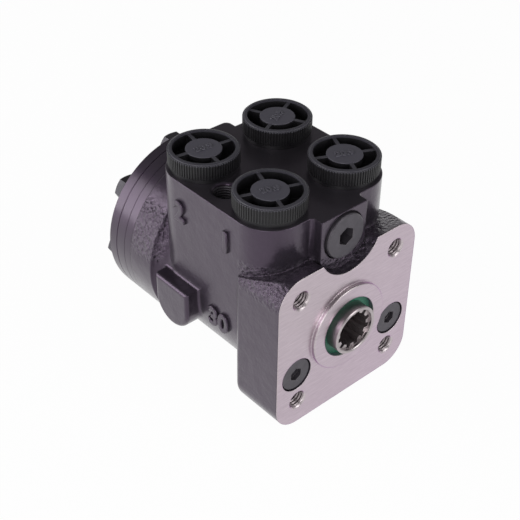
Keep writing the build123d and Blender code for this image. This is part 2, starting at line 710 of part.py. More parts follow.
# Two flat leaves in the middle, two bowed leaves on each side of them.
LEAF_GAP = 0.02
spring_end = SLEEVE_R - SPRING_END_GAP
with BuildPart() as neutral_springs:
    for side in (-1, 1):
        with BuildSketch(Plane.XZ.offset(-(SPRING_Y - SPRING_WIDTH / 2))):
            with Locations((side * (SPRING_LEAF + LEAF_GAP) / 2, 0)):
                Rectangle(SPRING_LEAF, 2 * spring_end)
        extrude(amount=-SPRING_WIDTH)
        for layer in (1, 2):
            inner = side * (layer * (SPRING_LEAF + LEAF_GAP) + LEAF_GAP / 2)
            outer = inner + side * SPRING_LEAF
            bow = side * (SPRING_SLOT_W / 2 - 3 * (SPRING_LEAF + LEAF_GAP) - 0.1)
            with BuildSketch(Plane.XZ.offset(-(SPRING_Y - SPRING_WIDTH / 2))):
                with BuildLine():
                    ThreePointArc((inner + bow, -spring_end), (inner, 0), (inner + bow, spring_end))
                    Line((inner + bow, spring_end), (outer + bow, spring_end))
                    ThreePointArc((outer + bow, spring_end), (outer, 0), (outer + bow, -spring_end))
                    Line((outer + bow, -spring_end), (inner + bow, -spring_end))
                make_face()
            extrude(amount=-SPRING_WIDTH)
finish(neutral_springs.part, "neutral_springs")

# --- Distribution plate, gear rim, rotor and end cover ----------------------
with BuildPart() as distribution_plate:
    with BuildSketch(across(PLATE_Y)):
        Circle(DISC_R)
        Circle(CARDAN_HEAD_R + ORBIT + PLATE_BORE_GAP, mode=Mode.SUBTRACT)
        with Locations(*bolt_points):
            Circle(BOLT_HOLE_R, mode=Mode.SUBTRACT)
        with Locations(*[polar(LOBE_CIRCLE_R - LOBE_R, a) for a in pocket_angles]):
            Circle(PLATE_PORT_R, mode=Mode.SUBTRACT)
    extrude(amount=PLATE_THICK, dir=REAR)
finish(distribution_plate.part, "distribution_plate")

CAVITY_R = LOBE_CIRCLE_R - LOBE_R + 2 * ORBIT + GEAR_FIT
with BuildPart() as gear_rim:
    with BuildSketch(across(RIM_Y)):
        Circle(DISC_R)
        with BuildSketch(across(RIM_Y), mode=Mode.SUBTRACT):
            Circle(CAVITY_R)
            with Locations(*bolt_points):
                Circle(LOBE_R, mode=Mode.SUBTRACT)
        with Locations(*bolt_points):
            Circle(BOLT_HOLE_R, mode=Mode.SUBTRACT)
    extrude(amount=GEAR_WIDTH, dir=REAR)
    chamfer(gear_rim.edges().filter_by(GeomType.CIRCLE).sort_by(SortBy.RADIUS)[-2:], 0.35)
    for groove_y in (RIM_Y, COVER_Y - SEAL_GROOVE_DEPTH):
        with BuildSketch(across(groove_y)):
            Circle(SEAL_GROOVE_OUT)
            Circle(SEAL_GROOVE_IN, mode=Mode.SUBTRACT)
        extrude(amount=SEAL_GROOVE_DEPTH, dir=REAR, mode=Mode.SUBTRACT)
finish(gear_rim.part, "gear_rim")


def rotor_point(t):
    """Rotor outline: the rim's lobe circle offset inwards from its trochoid."""
    x = LOBE_CIRCLE_R * cos(t) - ORBIT * cos(RIM_LOBES * t)
    z = LOBE_CIRCLE_R * sin(t) - ORBIT * sin(RIM_LOBES * t)
    dx = -LOBE_CIRCLE_R * sin(t) + RIM_LOBES * ORBIT * sin(RIM_LOBES * t)
    dz = LOBE_CIRCLE_R * cos(t) - RIM_LOBES * ORBIT * cos(RIM_LOBES * t)
    inset = (LOBE_R + GEAR_FIT) / hypot(dx, dz)
    return (x - dz * inset, z + dx * inset - ORBIT)


ROTOR_ARCS = 10 * ROTOR_TEETH
with BuildPart() as rotor:
    with BuildSketch(across(RIM_Y + FACE_FIT)):
        with BuildLine():
            for k in range(ROTOR_ARCS):
                t0 = 2 * pi * k / ROTOR_ARCS
                t1 = 2 * pi * (k + 1) / ROTOR_ARCS
                end = rotor_point(t1) if k + 1 < ROTOR_ARCS else rotor_point(0)
                ThreePointArc(rotor_point(t0), rotor_point((t0 + t1) / 2), end)
        make_face()
        with Locations((0, -ORBIT)):
            Circle(ROTOR_SPLINE_TIP_R, mode=Mode.SUBTRACT)
        for k in range(SPLINE_TEETH):
            corners = tooth_outline(
                ROTOR_SPLINE_TIP_R - CUT_OVER, ROTOR_SPLINE_ROOT_R, *ROTOR_SPACE_W, k * TOOTH_STEP
            )
            with BuildLine():
                Polyline(*[(x, z - ORBIT) for x, z in corners], close=True)
            make_face(mode=Mode.SUBTRACT)
    extrude(amount=GEAR_WIDTH - 2 * FACE_FIT, dir=REAR)
finish(rotor.part, "rotor")

with BuildPart() as spacer:
    with BuildSketch(across(COVER_Y - FACE_FIT - SPACER_THICK)):
        with Locations((0, -ORBIT)):
            Circle(SPACER_R)
    extrude(amount=SPACER_THICK, dir=REAR)
finish(spacer.part, "spacer")

with BuildPart() as end_cover:
    with BuildSketch(across(COVER_Y)):
        Circle(DISC_R)
        with Locations(*bolt_points):
            Circle(BOLT_HOLE_R, mode=Mode.SUBTRACT)
    extrude(amount=COVER_THICK, dir=REAR)
    rims = end_cover.edges().filter_by(GeomType.CIRCLE).sort_by(SortBy.RADIUS)[-2:]
    chamfer(rims.sort_by(Axis.Y)[0], 0.35)
    chamfer(rims.sort_by(Axis.Y)[-1], 0.8)
finish(end_cover.part, "end_cover")

# --- Cardan shaft, tilted from the cross pin to the rotor's centre ----------
cardan_tilt = atan2(ORBIT, RIM_Y + GEAR_WIDTH / 2 - PIN_Y)
CARDAN_DIR = (0, cos(cardan_tilt), -sin(cardan_tilt))
CARDAN_END = COVER_Y - FACE_FIT - SPACER_THICK - 0.4
cardan_front = CARDAN_BORE_FRONT + CARDAN_FRONT_GAP - PIN_Y
cardan_rear = (CARDAN_END - PIN_Y) / cos(cardan_tilt)
CARDAN_HEAD_L = 5.4
FORK_FLOOR = 0.8
FORK_WEB = 6.0
fork_end = PIN_R + FORK_WEB


def cardan_section(distance):
    """Plane across the cardan shaft at a distance behind the cross pin."""
    return Plane(
        origin=Vector(0, PIN_Y, 0) + Vector(*CARDAN_DIR) * distance,
        x_dir=(1, 0, 0),
        z_dir=-Vector(*CARDAN_DIR),
    )


with BuildPart() as cardan_shaft:
    with BuildSketch(cardan_section(cardan_rear - CARDAN_HEAD_L)):
        Circle(CARDAN_HEAD_ROOT_R)
        for k in range(SPLINE_TEETH):
            root_r = CARDAN_HEAD_ROOT_R - CUT_OVER
            with BuildLine():
                Polyline(
                    *tooth_outline(root_r, CARDAN_HEAD_R, *CARDAN_TOOTH_W, k * TOOTH_STEP),
                    close=True,
                )
            make_face()
    extrude(amount=CARDAN_HEAD_L, dir=CARDAN_DIR)
    with BuildSketch(cardan_section(cardan_front)):
        Circle(CARDAN_FRONT_R)
    extrude(amount=fork_end - cardan_front, dir=CARDAN_DIR)
    with BuildSketch(cardan_section(fork_end)):
        Circle(CARDAN_NECK_R)
    extrude(amount=cardan_rear - CARDAN_HEAD_L - fork_end, dir=CARDAN_DIR)
    with BuildSketch(cardan_section(cardan_front)):
        Rectangle(4 * CARDAN_FRONT_R, 2 * (PIN_R + FORK_PLAY))
    extrude(amount=PIN_R + FORK_FLOOR - cardan_front, dir=CARDAN_DIR, mode=Mode.SUBTRACT)
finish(cardan_shaft.part, "cardan_shaft")

# --- Bolts and washers of the end cover ------------------------------------
HEAD_Y = COVER_END + WASHER_THICK
with BuildPart() as cover_washers:
    with BuildSketch(across(COVER_END)):
        with Locations(*bolt_points):
            Circle(WASHER_R)
            Circle(BOLT_HOLE_R, mode=Mode.SUBTRACT)
    extrude(amount=WASHER_THICK, dir=REAR)
finish(cover_washers.part, "cover_washers")


def cover_bolts(points, reach, pin_length, label):
    """Hexagon bolts through the cover; a pin may follow the thread."""
    with BuildPart() as bolts:
        with BuildSketch(across(HEAD_Y)):
            with Locations(*points):
                RegularPolygon(BOLT_AF / 2, 6, major_radius=False)
        extrude(amount=BOLT_HEAD, dir=REAR)
        with BuildSketch(across(HEAD_Y)):
            with Locations(*points):
                Circle(BOLT_R)
        extrude(amount=HEAD_Y - HOUSING_LENGTH + reach)
        if pin_length:
            with BuildSketch(across(HOUSING_LENGTH - reach)):
                with Locations(*points):
                    Circle(BOLT_R / 2)
            extrude(amount=pin_length)
        # The crown of each head is turned to a shallow cone.
        top = HEAD_Y + BOLT_HEAD
        for x, z in points:
            with BuildSketch(along(x, z)):
                with BuildLine():
                    Polyline(
                        (BOLT_AF / 2 - 0.3, top),
                        (BOLT_AF / 2 + 2, top),
                        (BOLT_AF / 2 + 2, top - 2.3 * BOLT_CROWN_SLOPE),
                        close=True,
                    )
                make_face()
            revolve(axis=Axis((x, 0, z), (0, 1, 0)), mode=Mode.SUBTRACT)
    finish(bolts.part, label)


cover_bolts([p for k, p in enumerate(bolt_points) if k != SPECIAL_BOLT], BOLT_REACH, 0, "cover_bolts")
cover_bolts([bolt_points[SPECIAL_BOLT]], BOLT_REACH - 3, 4.0, "pin_bolt")


def face_seal(y, label):
    """Sealing ring in its groove outside the bolts."""
    ring(y, SEAL_GROOVE_DEPTH - SEAL_FIT, SEAL_GROOVE_IN + SEAL_FIT, SEAL_GROOVE_OUT - SEAL_FIT, label)


face_seal(HOUSING_LENGTH - SEAL_GROOVE_DEPTH + SEAL_FIT, "housing_seal")
face_seal(RIM_Y, "rim_front_seal")
face_seal(COVER_Y - SEAL_GROOVE_DEPTH + SEAL_FIT, "rim_rear_seal")

# --- Relief valve ----------------------------------------------------------
relief_axis = Axis((0, 0, RELIEF_Z), (0, 1, 0))
relief_seat = RELIEF_FACE_Y + RELIEF_HEAD_SEAT
with BuildPart() as relief_plug:
    with BuildSketch(along(0, RELIEF_Z)):
        with BuildLine():
            Polyline(
                (0, RELIEF_FACE_Y - RELIEF_HEAD_PROUD),
                (RELIEF_HEAD_R, RELIEF_FACE_Y - RELIEF_HEAD_PROUD),
                (RELIEF_HEAD_R, relief_seat - PLUG_SEAL_THICK),
                (RELIEF_THREAD_R, relief_seat - PLUG_SEAL_THICK),
                (RELIEF_THREAD_R, RELIEF_THREAD_END),
                (0, RELIEF_THREAD_END),
                close=True,
            )
        make_face()
    revolve(axis=relief_axis)
    chamfer(relief_plug.edges().group_by(Axis.Y)[0], 0.5)
    with BuildSketch(across(RELIEF_FACE_Y - RELIEF_HEAD_PROUD)):
        with Locations((0, RELIEF_Z)):
            RegularPolygon(RELIEF_SOCKET / 2, 6, major_radius=False, rotation=30)
    extrude(amount=RELIEF_SOCKET_DEPTH, dir=REAR, mode=Mode.SUBTRACT)
finish(relief_plug.part, "relief_plug")


def off_axis_ring(points, y, length, inner_r, outer_r, label):
    """Equal rings, tubes or discs on axes parallel to the shaft."""
    with BuildPart() as piece:
        with BuildSketch(across(y)):
            with Locations(*points):
                Circle(outer_r)
                if inner_r:
                    Circle(inner_r, mode=Mode.SUBTRACT)
        extrude(amount=length, dir=REAR)
    finish(piece.part, label)


def setting_screws(points, y, length, radius, socket, label):
    """Grub screws with a hexagon socket that set the valve springs."""
    with BuildPart() as piece:
        with BuildSketch(across(y)):
            with Locations(*points):
                Circle(radius)
        extrude(amount=length, dir=REAR)
        with BuildSketch(across(y)):
            with Locations(*points):
                RegularPolygon(socket / 2, 6, major_radius=False)
        extrude(amount=length * 0.6, dir=REAR, mode=Mode.SUBTRACT)
    finish(piece.part, label)


relief_point = [(0, RELIEF_Z)]
poppet_y = RELIEF_SEAT_Y - POPPET_LENGTH
spring_y = RELIEF_THREAD_END + 2.0 + SETTING_SCREW_L
off_axis_ring(relief_point, relief_seat - PLUG_SEAL_THICK, PLUG_SEAL_THICK, RELIEF_THREAD_R + 0.3,
              RELIEF_HEAD_R - 0.4, "relief_seal")
setting_screws(relief_point, RELIEF_THREAD_END + 2.0, SETTING_SCREW_L, RELIEF_BORE_R - RUNNING_FIT, 4.0,
               "relief_screw")
off_axis_ring(relief_point, spring_y, poppet_y - spring_y, 2.6, 3.9, "relief_spring")
with BuildPart() as relief_poppet:
    with BuildSketch(along(0, RELIEF_Z)):
        with BuildLine():
            Polyline(
                (0, poppet_y),
                (RELIEF_BORE_R - RUNNING_FIT, poppet_y),
                (RELIEF_BORE_R - RUNNING_FIT, RELIEF_SEAT_Y - 3.0),
                (RELIEF_SEAT_R - 0.2, RELIEF_SEAT_Y - BALL_GAP),
                (0, RELIEF_SEAT_Y - BALL_GAP),
                close=True,
            )
        make_face()
    revolve(axis=relief_axis)
finish(relief_poppet.part, "relief_poppet")

# --- Shock valves ----------------------------------------------------------
shock_points = [(-SHOCK_X, SHOCK_Z), (SHOCK_X, SHOCK_Z)]
with BuildPart() as shock_plugs:
    with BuildSketch(across(SHOCK_HEAD_SUNK)):
        with Locations(*shock_points):
            Circle(SHOCK_HEAD_R)
    extrude(amount=SHOCK_HEAD_SEAT - PLUG_SEAL_THICK - SHOCK_HEAD_SUNK, dir=REAR)
    with BuildSketch(across(SHOCK_HEAD_SEAT - PLUG_SEAL_THICK)):
        with Locations(*shock_points):
            Circle(SHOCK_THREAD_R)
    extrude(amount=SHOCK_THREAD_END - SHOCK_HEAD_SEAT + PLUG_SEAL_THICK, dir=REAR)
    chamfer(shock_plugs.edges().group_by(Axis.Y)[0], 0.4)
    with BuildSketch(across(SHOCK_HEAD_SUNK)):
        with Locations(*shock_points):
            RegularPolygon(SHOCK_SOCKET / 2, 6, major_radius=False, rotation=30)
    extrude(amount=SHOCK_SOCKET_DEPTH, dir=REAR, mode=Mode.SUBTRACT)
finish(shock_plugs.part, "shock_plugs")
shock_ball_y = SHOCK_SEAT_Y - seat_height(SHOCK_BALL_R, SHOCK_SEAT_R) - BALL_GAP
shock_spring_y = SHOCK_THREAD_END + 2.0 + SETTING_SCREW_L
off_axis_ring(shock_points, SHOCK_HEAD_SEAT - PLUG_SEAL_THICK, PLUG_SEAL_THICK, SHOCK_THREAD_R + 0.3,
              SHOCK_HEAD_R - 0.4, "shock_seals")
setting_screws(shock_points, SHOCK_THREAD_END + 2.0, SETTING_SCREW_L, SHOCK_BORE_R - RUNNING_FIT, 3.0,
               "shock_screws")
for side_point, side_name in zip(shock_points, ("left", "right")):
    off_axis_ring([side_point], shock_spring_y, shock_ball_y - SHOCK_BALL_R + 0.9 - shock_spring_y, 2.2, 3.4,
                  f"shock_spring_{side_name}")


def ball(x, y, z, radius, label):
    """One steel ball."""
    with BuildPart() as piece:
        with Locations((x, y, z)):
            Sphere(radius)
    finish(piece.part, label)


ball(-SHOCK_X, shock_ball_y, SHOCK_Z, SHOCK_BALL_R, "shock_ball_left")
ball(SHOCK_X, shock_ball_y, SHOCK_Z, SHOCK_BALL_R, "shock_ball_right")

# --- Suction valves --------------------------------------------------------
suction_points = [polar(SUCTION_RADIUS, a) for a in suction_angles]
suction_seat = HOUSING_LENGTH - SUCTION_DEPTH
suction_ball_y = suction_seat + seat_height(SUCTION_BALL_R, SUCTION_SEAT_R) + BALL_GAP
suction_pin_y = suction_ball_y + SUCTION_BALL_R + SUCTION_LIFT + BALL_GAP
off_axis_ring(suction_points, suction_pin_y, HOUSING_LENGTH - BALL_GAP - suction_pin_y, SUCTION_PIN_R,
              SUCTION_BORE_R - BALL_GAP, "suction_pins")
ball(suction_points[0][0], suction_ball_y, suction_points[0][1], SUCTION_BALL_R, "suction_ball_left")
ball(suction_points[1][0], suction_ball_y, suction_points[1][1], SUCTION_BALL_R, "suction_ball_right")

# --- Check valve -----------------------------------------------------------
port_floor = BLOCK_TOP - PORT_DEPTH
bushing_bottom = port_floor - CHECK_THREAD_DEPTH
check_seat = bushing_bottom - CHECK_CHAMBER_DEPTH
with BuildPart() as check_bushing:
    with BuildSketch(Plane.XY.offset(bushing_bottom)):
        with Locations(port_points["pump"]):
            Circle(CHECK_THREAD_R - THREAD_FIT)
            Circle(CHECK_THROAT_R, mode=Mode.SUBTRACT)
    extrude(amount=CHECK_THREAD_DEPTH)
    with BuildSketch(Plane.XY.offset(port_floor)):
        with Locations(port_points["pump"]):
            RegularPolygon(4.0, 6, major_radius=False)
    extrude(amount=-4.0, mode=Mode.SUBTRACT)
finish(check_bushing.part, "check_bushing")
ball(*port_points["pump"], check_seat + seat_height(CHECK_BALL_R, CHECK_THROAT_R) + BALL_GAP, CHECK_BALL_R,
     "check_ball")


# --- Port caps -------------------------------------------------------------
def port_cap(x, y, spoke_turn, label):
    """Knurled thread protector with a spoked hub and a short shank."""
    top = BLOCK_TOP + CAP_HEIGHT
    ribbed_r = CAP_R - CAP_RIB_DEPTH
    shank_r = PORT_MOUTH_R - CAP_SHANK_FIT
    with BuildPart() as cap:
        with BuildSketch(upright(x, y)):
            with BuildLine():
                Polyline(
                    (0, BLOCK_TOP - CAP_SHANK),
                    (shank_r, BLOCK_TOP - CAP_SHANK),
                    (shank_r, BLOCK_TOP),
                    (CAP_R - CAP_COLLAR_STEP, BLOCK_TOP),
                    (CAP_R - CAP_COLLAR_STEP, BLOCK_TOP + CAP_COLLAR),
                    (ribbed_r, BLOCK_TOP + CAP_COLLAR),
                    (ribbed_r, top - CAP_LIP),
                )
                Line((ribbed_r, top - CAP_LIP), (CAP_R, top - CAP_LIP))
                ThreePointArc(
                    (CAP_R, top - CAP_LIP),
                    (CAP_R - 0.3 * CAP_LIP, top - 0.3 * CAP_LIP),
                    (CAP_R - CAP_LIP, top),
                )
                Polyline(
                    (CAP_R - CAP_LIP, top),
                    (CAP_R - CAP_WALL, top),
                    (CAP_R - CAP_WALL, BLOCK_TOP + CAP_FLOOR),
                    (0, BLOCK_TOP + CAP_FLOOR),
                    (0, BLOCK_TOP - CAP_SHANK),
                )
            make_face()
        revolve(axis=Axis((x, y, 0), (0, 0, 1)))
        with BuildSketch(Plane.XY.offset(BLOCK_TOP + CAP_FLOOR)):
            with Locations((x, y)):
                Circle(CAP_HUB_R)
                with PolarLocations((CAP_HUB_R + CAP_R - CAP_WALL) / 2, 4, start_angle=spoke_turn):
                    Rectangle(CAP_R - CAP_WALL - CAP_HUB_R + 1.0, CAP_SPOKE)
        extrude(amount=CAP_HEIGHT - CAP_FLOOR - CAP_HUB_SUNK)
    finish(cap.part, label)


port_cap(*port_points["left"], CAP_TURNS[0], "port_cap_left")
port_cap(*port_points["right"], CAP_TURNS[1], "port_cap_right")
port_cap(*port_points["pump"], CAP_TURNS[2], "port_cap_pump")
port_cap(*port_points["tank"], CAP_TURNS[3], "port_cap_tank")
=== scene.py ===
"""Orbital steering unit: finishes, threads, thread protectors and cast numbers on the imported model.

Lengths are metres. The shaft axis is Y, the ports are on top (+Z).
"""
import json
from math import cos, pi, radians, sin

import bmesh
import bpy
from mathutils import Matrix, Vector


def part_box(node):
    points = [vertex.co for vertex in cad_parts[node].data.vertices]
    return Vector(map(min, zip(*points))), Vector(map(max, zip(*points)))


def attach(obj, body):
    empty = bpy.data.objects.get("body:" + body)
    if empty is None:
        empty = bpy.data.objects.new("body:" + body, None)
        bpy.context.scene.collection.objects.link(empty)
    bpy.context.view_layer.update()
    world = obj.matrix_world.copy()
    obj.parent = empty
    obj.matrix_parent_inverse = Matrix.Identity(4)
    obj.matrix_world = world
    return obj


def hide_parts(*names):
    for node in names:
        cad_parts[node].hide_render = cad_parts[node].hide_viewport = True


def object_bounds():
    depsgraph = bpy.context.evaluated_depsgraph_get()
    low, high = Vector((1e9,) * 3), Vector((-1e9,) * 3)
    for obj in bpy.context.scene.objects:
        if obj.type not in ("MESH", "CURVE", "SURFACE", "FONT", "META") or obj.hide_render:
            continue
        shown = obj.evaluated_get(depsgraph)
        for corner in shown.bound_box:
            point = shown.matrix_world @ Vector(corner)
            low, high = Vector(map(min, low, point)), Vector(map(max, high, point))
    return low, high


bl_info = {
    "name": "Orbital Steering Unit",
    "version": (1, 0, 0),
    "blender": (4, 5, 0),
    "location": "View3D > Sidebar > Steering Unit",
    "description": "Finishes a steering unit: paint, machined faces, threads, ribbed caps, marks and a stage",
    "category": "Object",
}

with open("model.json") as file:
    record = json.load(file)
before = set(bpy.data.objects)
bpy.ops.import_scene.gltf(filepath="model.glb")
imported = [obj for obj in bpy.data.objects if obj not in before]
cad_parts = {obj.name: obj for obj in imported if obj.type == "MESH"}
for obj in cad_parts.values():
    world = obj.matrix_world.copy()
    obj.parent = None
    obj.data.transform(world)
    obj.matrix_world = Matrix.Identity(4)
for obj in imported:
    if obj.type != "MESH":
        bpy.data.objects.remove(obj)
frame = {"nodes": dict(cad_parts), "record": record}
CAD_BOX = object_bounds()
MM = 0.001


def mount(name):
    """Place and sizes of one of the record's mounts."""
    found = next(m for m in frame["record"]["mounts"] if m["name"] == name)
    return Vector(found["pos_m"]), found["dims"]


# Housing
BOLTS_AT, BOLT_DIMS = mount("mounting_bolts")
LS_AT, LS_DIMS = mount("port_load_sense")
HALF_PITCH = BOLT_DIMS["spacing_x_mm"] / 2 * MM
MOUNT_HOLE_R = BOLT_DIMS["hole_r_mm"] * MM
LS_HOLE_R = LS_DIMS["r_mm"] * MM
BLOCK_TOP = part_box("housing")[1].z
SIDE_X = -39.6 * MM

# Thread protectors: their outside, and the rectangle their four axes stand on.
CAP_LOW, CAP_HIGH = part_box("port_cap_left")
FAR_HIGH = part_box("port_cap_tank")[1]
CAP_R = (CAP_HIGH.x - CAP_LOW.x) / 2
CAP_TOP = CAP_HIGH.z
PORT_HALF_X = (FAR_HIGH.x - CAP_LOW.x) / 2 - CAP_R
PORT_HALF_Y = (FAR_HIGH.y - CAP_LOW.y) / 2 - CAP_R
PORTS_MID_Y = (FAR_HIGH.y + CAP_LOW.y) / 2

# Cup of a thread protector
SHANK_R = 10.4 * MM
COLLAR_R = CAP_R - 0.9 * MM
COLLAR_TOP = BLOCK_TOP + 1.9 * MM
CUP_FLOOR = BLOCK_TOP + 2.6 * MM
CUP_EDGE = 0.7 * MM
CUP_EDGE_MID = (0.2, 0.3)
CUP_STEPS = 96
# Its hub and spokes, which start inside the cup's floor.
HUB_R = 8.35 * MM
HUB_BOTTOM = BLOCK_TOP + 2.5 * MM
HUB_EDGE = 0.3 * MM
HUB_STEPS = 48
HUB_NUMBER = "20.9"
HUB_NUMBER_RELIEF = 0.3 * MM
HUB_NUMBER_SUNK = 0.05 * MM
SPOKES = 4
SPOKE_INTO_HUB = 0.5 * MM
SPOKE_INTO_WALL = 0.3 * MM
SPOKE_BELOW_HUB = 0.15 * MM
# Its grip ribs; width and chamfer are shares of their pitch.
RIB_BOTTOM = BLOCK_TOP + 2.3 * MM
RIB_BELOW_RIM = 0.55 * MM
RIB_INTO_WALL = 0.4 * MM
RIB_WIDTH = 0.56
RIB_CHAMFER = 0.14

# Threads: where root, crest, crest and root lie along one pitch, as shares of it.
THREAD_SHARES = (0.08, 0.42, 0.58, 0.92)
THREAD_STEPS = 28
THREAD_INTO_WALL = 0.03 * MM
MOUNT_THREAD_START = BOLTS_AT.y - 0.5 * MM
MOUNT_THREAD_LENGTH = 17 * MM
PORT_THREAD_START = BLOCK_TOP - 0.6 * MM
PORT_THREAD_LENGTH = 10.5 * MM

# Numbers cast on the left side, each with the y and z of its middle.
CAST_NUMBERS = (("2", 69 * MM, 43.7 * MM), ("1", 37 * MM, 44.5 * MM), ("30", 42.5 * MM, -3 * MM))
CAST_NUMBER_SUNK = 1.2 * MM
# Turns numbers that lie in XY upright on that side.
ON_LEFT_SIDE = Matrix(((0, 0, -1), (-1, 0, 0), (0, 1, 0))).to_4x4()
# Of the type: a digit's height as a share of its size, and its bevel and extra weight.
DIGIT_SHARE = 0.69
DIGIT_BEVEL = 0.18
DIGIT_WEIGHT = 0.03
DIGIT_STEPS = 4

# Pairs below are the places where a mask starts and where it is full.
MILLED_Y = (0.15 * MM, 0.05 * MM)
MILLED_TOP_Z = (BLOCK_TOP - 0.1 * MM, BLOCK_TOP)
TAPPED_R = MOUNT_HOLE_R + 1.3 * MM
TAPPED_END_Y = 22 * MM
SHAFT_BORE_R = 20 * MM
# Painted shade inside the open port: how far out and how far down it starts and where it is full.
PORT_SHADE_R = (LS_HOLE_R + 0.5 * MM, LS_HOLE_R + 0.3 * MM)
PORT_SHADE_Z = (BLOCK_TOP - 0.6 * MM, BLOCK_TOP - 0.9 * MM)
SEAM_OFF = (0.32 * MM, 0.22 * MM)
HUB_FACE_R = (HUB_R + 0.2 * MM, HUB_R)
CAP_FACE_Z = (CAP_TOP - 1.15 * MM, CAP_TOP - 1.0 * MM)
# Cosine of the angle between a rounded normal and the face it lies on.
PAINT_CORNER = (0.98, 0.8)
STEEL_CORNER = (0.97, 0.75)
PIT_CREST = (0.3, 0.7)

# Rough patches in the mould, in mm: lowest and highest z, front and rear y, and how far inside
# each of those limits the roughness is full.
ROUGH_PATCHES = ((27, 41, -5, 30), (4, 32, 82, 106))
ROUGH_FADES = (5, -3, 3, -3)

# Casting skin: sizes of what the texture shows, and how deep it goes.
LUMP_SIZE = 7 * MM
LUMP_DEPTH = 0.25 * MM
GRAIN_SIZE = 1.3 * MM
GRAIN_DEPTH = 0.06 * MM
ROUGH_GRAIN_DEPTH = 0.5 * MM
PIT_SIZE = 1.6 * MM
PIT_DEPTH = 0.75 * MM
# Shares of the painted highlight on corners and on the crests between pits: lighter enamel where glints fall.
CORNER_HIGHLIGHT = 0.35
CREST_HIGHLIGHT = 0.4
BLOTCH_SIZE = 18 * MM
# Cutter marks run across the milled face at an angle and are drawn out along it.
CUTTER_SIZE = 9 * MM
CUTTER_STRETCH = (1.0, 1.0, 14.0)
CUTTER_TURN = (0, radians(24), 0)
# Lowest and highest roughness.
CAST_ROUGHNESS = (0.24, 0.36)
MILLED_ROUGHNESS = (0.3, 0.42)
# Clear top layer of the enamel
COAT_WEIGHT = 0.45
COAT_ROUGHNESS = 0.2

# Skins of the other finishes: sizes of the texture, how deep it goes, and rounding of edges.
DISC_BLOTCH_SIZE = 12 * MM
DISC_PEEL_SIZE = 0.9 * MM
DISC_PEEL_DEPTH = 0.012 * MM
DISC_EDGE = 0.3 * MM
DISC_ROUGHNESS = (0.3, 0.4)
OXIDE_FILM_SIZE = 4 * MM
OXIDE_EDGE = 0.35 * MM
OXIDE_RUBBED = 0.5
OXIDE_UNEVEN = 0.12
OXIDE_METALLIC = 0.6
# Grinding marks run round the shaft.
GRIND_STRETCH = (0.15, 3.0, 0.15)
GRIND_DEPTH = 0.01 * MM
STAIN_SIZE = 6 * MM
BLOOM_SIZE = 2.5 * MM
BLOOM_DEPTH = 0.02 * MM
BLOOM_UNEVEN = 0.08
PLASTIC_FLOW_SIZE = 5 * MM
PLASTIC_GRAIN_SIZE = 0.5 * MM
PLASTIC_GRAIN_DEPTH = 0.012 * MM
PLASTIC_EDGE = 0.3 * MM
PLASTIC_ROUGHNESS = (0.36, 0.48)
# How strongly spokes and rims share the painted light on the hubs.
RIM_LIGHT_SHARE = 0.55

# Which directions count for a distance from the shaft, and from an upright axis.
ACROSS_SHAFT = (1, 0, 1)
ACROSS_UPRIGHT = (1, 1, 0)

# Stage: each softbox has its place from the object's middle, its side and its power's property.
SOFTBOXES = (
    ("rear_left_softbox", (-0.85, 0.62, 0.36), 0.75, "rear_left_power"),
    ("front_left_softbox", (-0.85, -0.55, 0.42), 0.6, "front_left_power"),
    ("front_softbox", (0.35, -0.95, 0.5), 0.6, "front_power"),
)
FLOOR_HALF = 3.0
FLOOR_BELOW = 0.02 * MM
CEILING_FROM = 0.45
SENSOR_MM = 36.0
CLIP_START = 0.01
CLIP_END = 20.0

# ---------------------------------------------------------------------------
# Colours and nodes


def linear(code):
    """A hex sRGB colour as linear red, green, blue and alpha."""
    parts = [int(code[i:i + 2], 16) / 255 for i in (1, 3, 5)]
    return [c / 12.92 if c <= 0.04045 else ((c + 0.055) / 1.055) ** 2.4 for c in parts] + [1.0]


def fill(tree, node, inputs):
    """Set or link a node's inputs."""
    for key, value in inputs.items():
        if isinstance(value, bpy.types.Node):
            value = value.outputs[0]
        if isinstance(value, bpy.types.NodeSocket):
            tree.links.new(value, node.inputs[key])
        else:
            node.inputs[key].default_value = value


def add(tree, kind, inputs=None, **settings):
    """Add a shader node, set its properties and fill its inputs."""
    made = tree.nodes.new("ShaderNode" + kind)
    for key, value in settings.items():
        setattr(made, key, value)
    fill(tree, made, inputs or {})
    return made


def new_material(name):
    """A material with only a Principled surface; returns material, tree and shader."""
    material = bpy.data.materials.new(name)
    material.use_nodes = True
    tree = material.node_tree
    return material, tree, tree.nodes["Principled BSDF"]


def off_axis(tree, point, centre, across):
    """Distance of a point from an axis through centre; across says which directions count."""
    moved = add(tree, "VectorMath", {0: point, 1: centre}, operation="SUBTRACT")
    flat = add(tree, "VectorMath", {0: moved, 1: across}, operation="MULTIPLY")
    return add(tree, "VectorMath", {0: flat}, operation="LENGTH").outputs["Value"]


def corner_mask(tree, rounded, limits, share):
    """0 on flat faces, share on corners, where the rounded normal leaves the flat one."""
    flat = add(tree, "NewGeometry").outputs["Normal"]
    straight = add(tree, "VectorMath", {0: rounded, 1: flat}, operation="DOT_PRODUCT")
    ramp = {"Value": straight.outputs["Value"], "From Min": limits[0], "From Max": limits[1]}
    return add(tree, "MapRange", {**ramp, "To Max": share})


def enamel_gloss(look):
    """Two layers of shine: a tinted one in the paint and a clear one where it has levelled out."""
    tint = linear(look.gloss_tint)
    return {"Specular Tint": tint, "Coat Weight": COAT_WEIGHT, "Coat Roughness": COAT_ROUGHNESS}


# ---------------------------------------------------------------------------
# Finishes


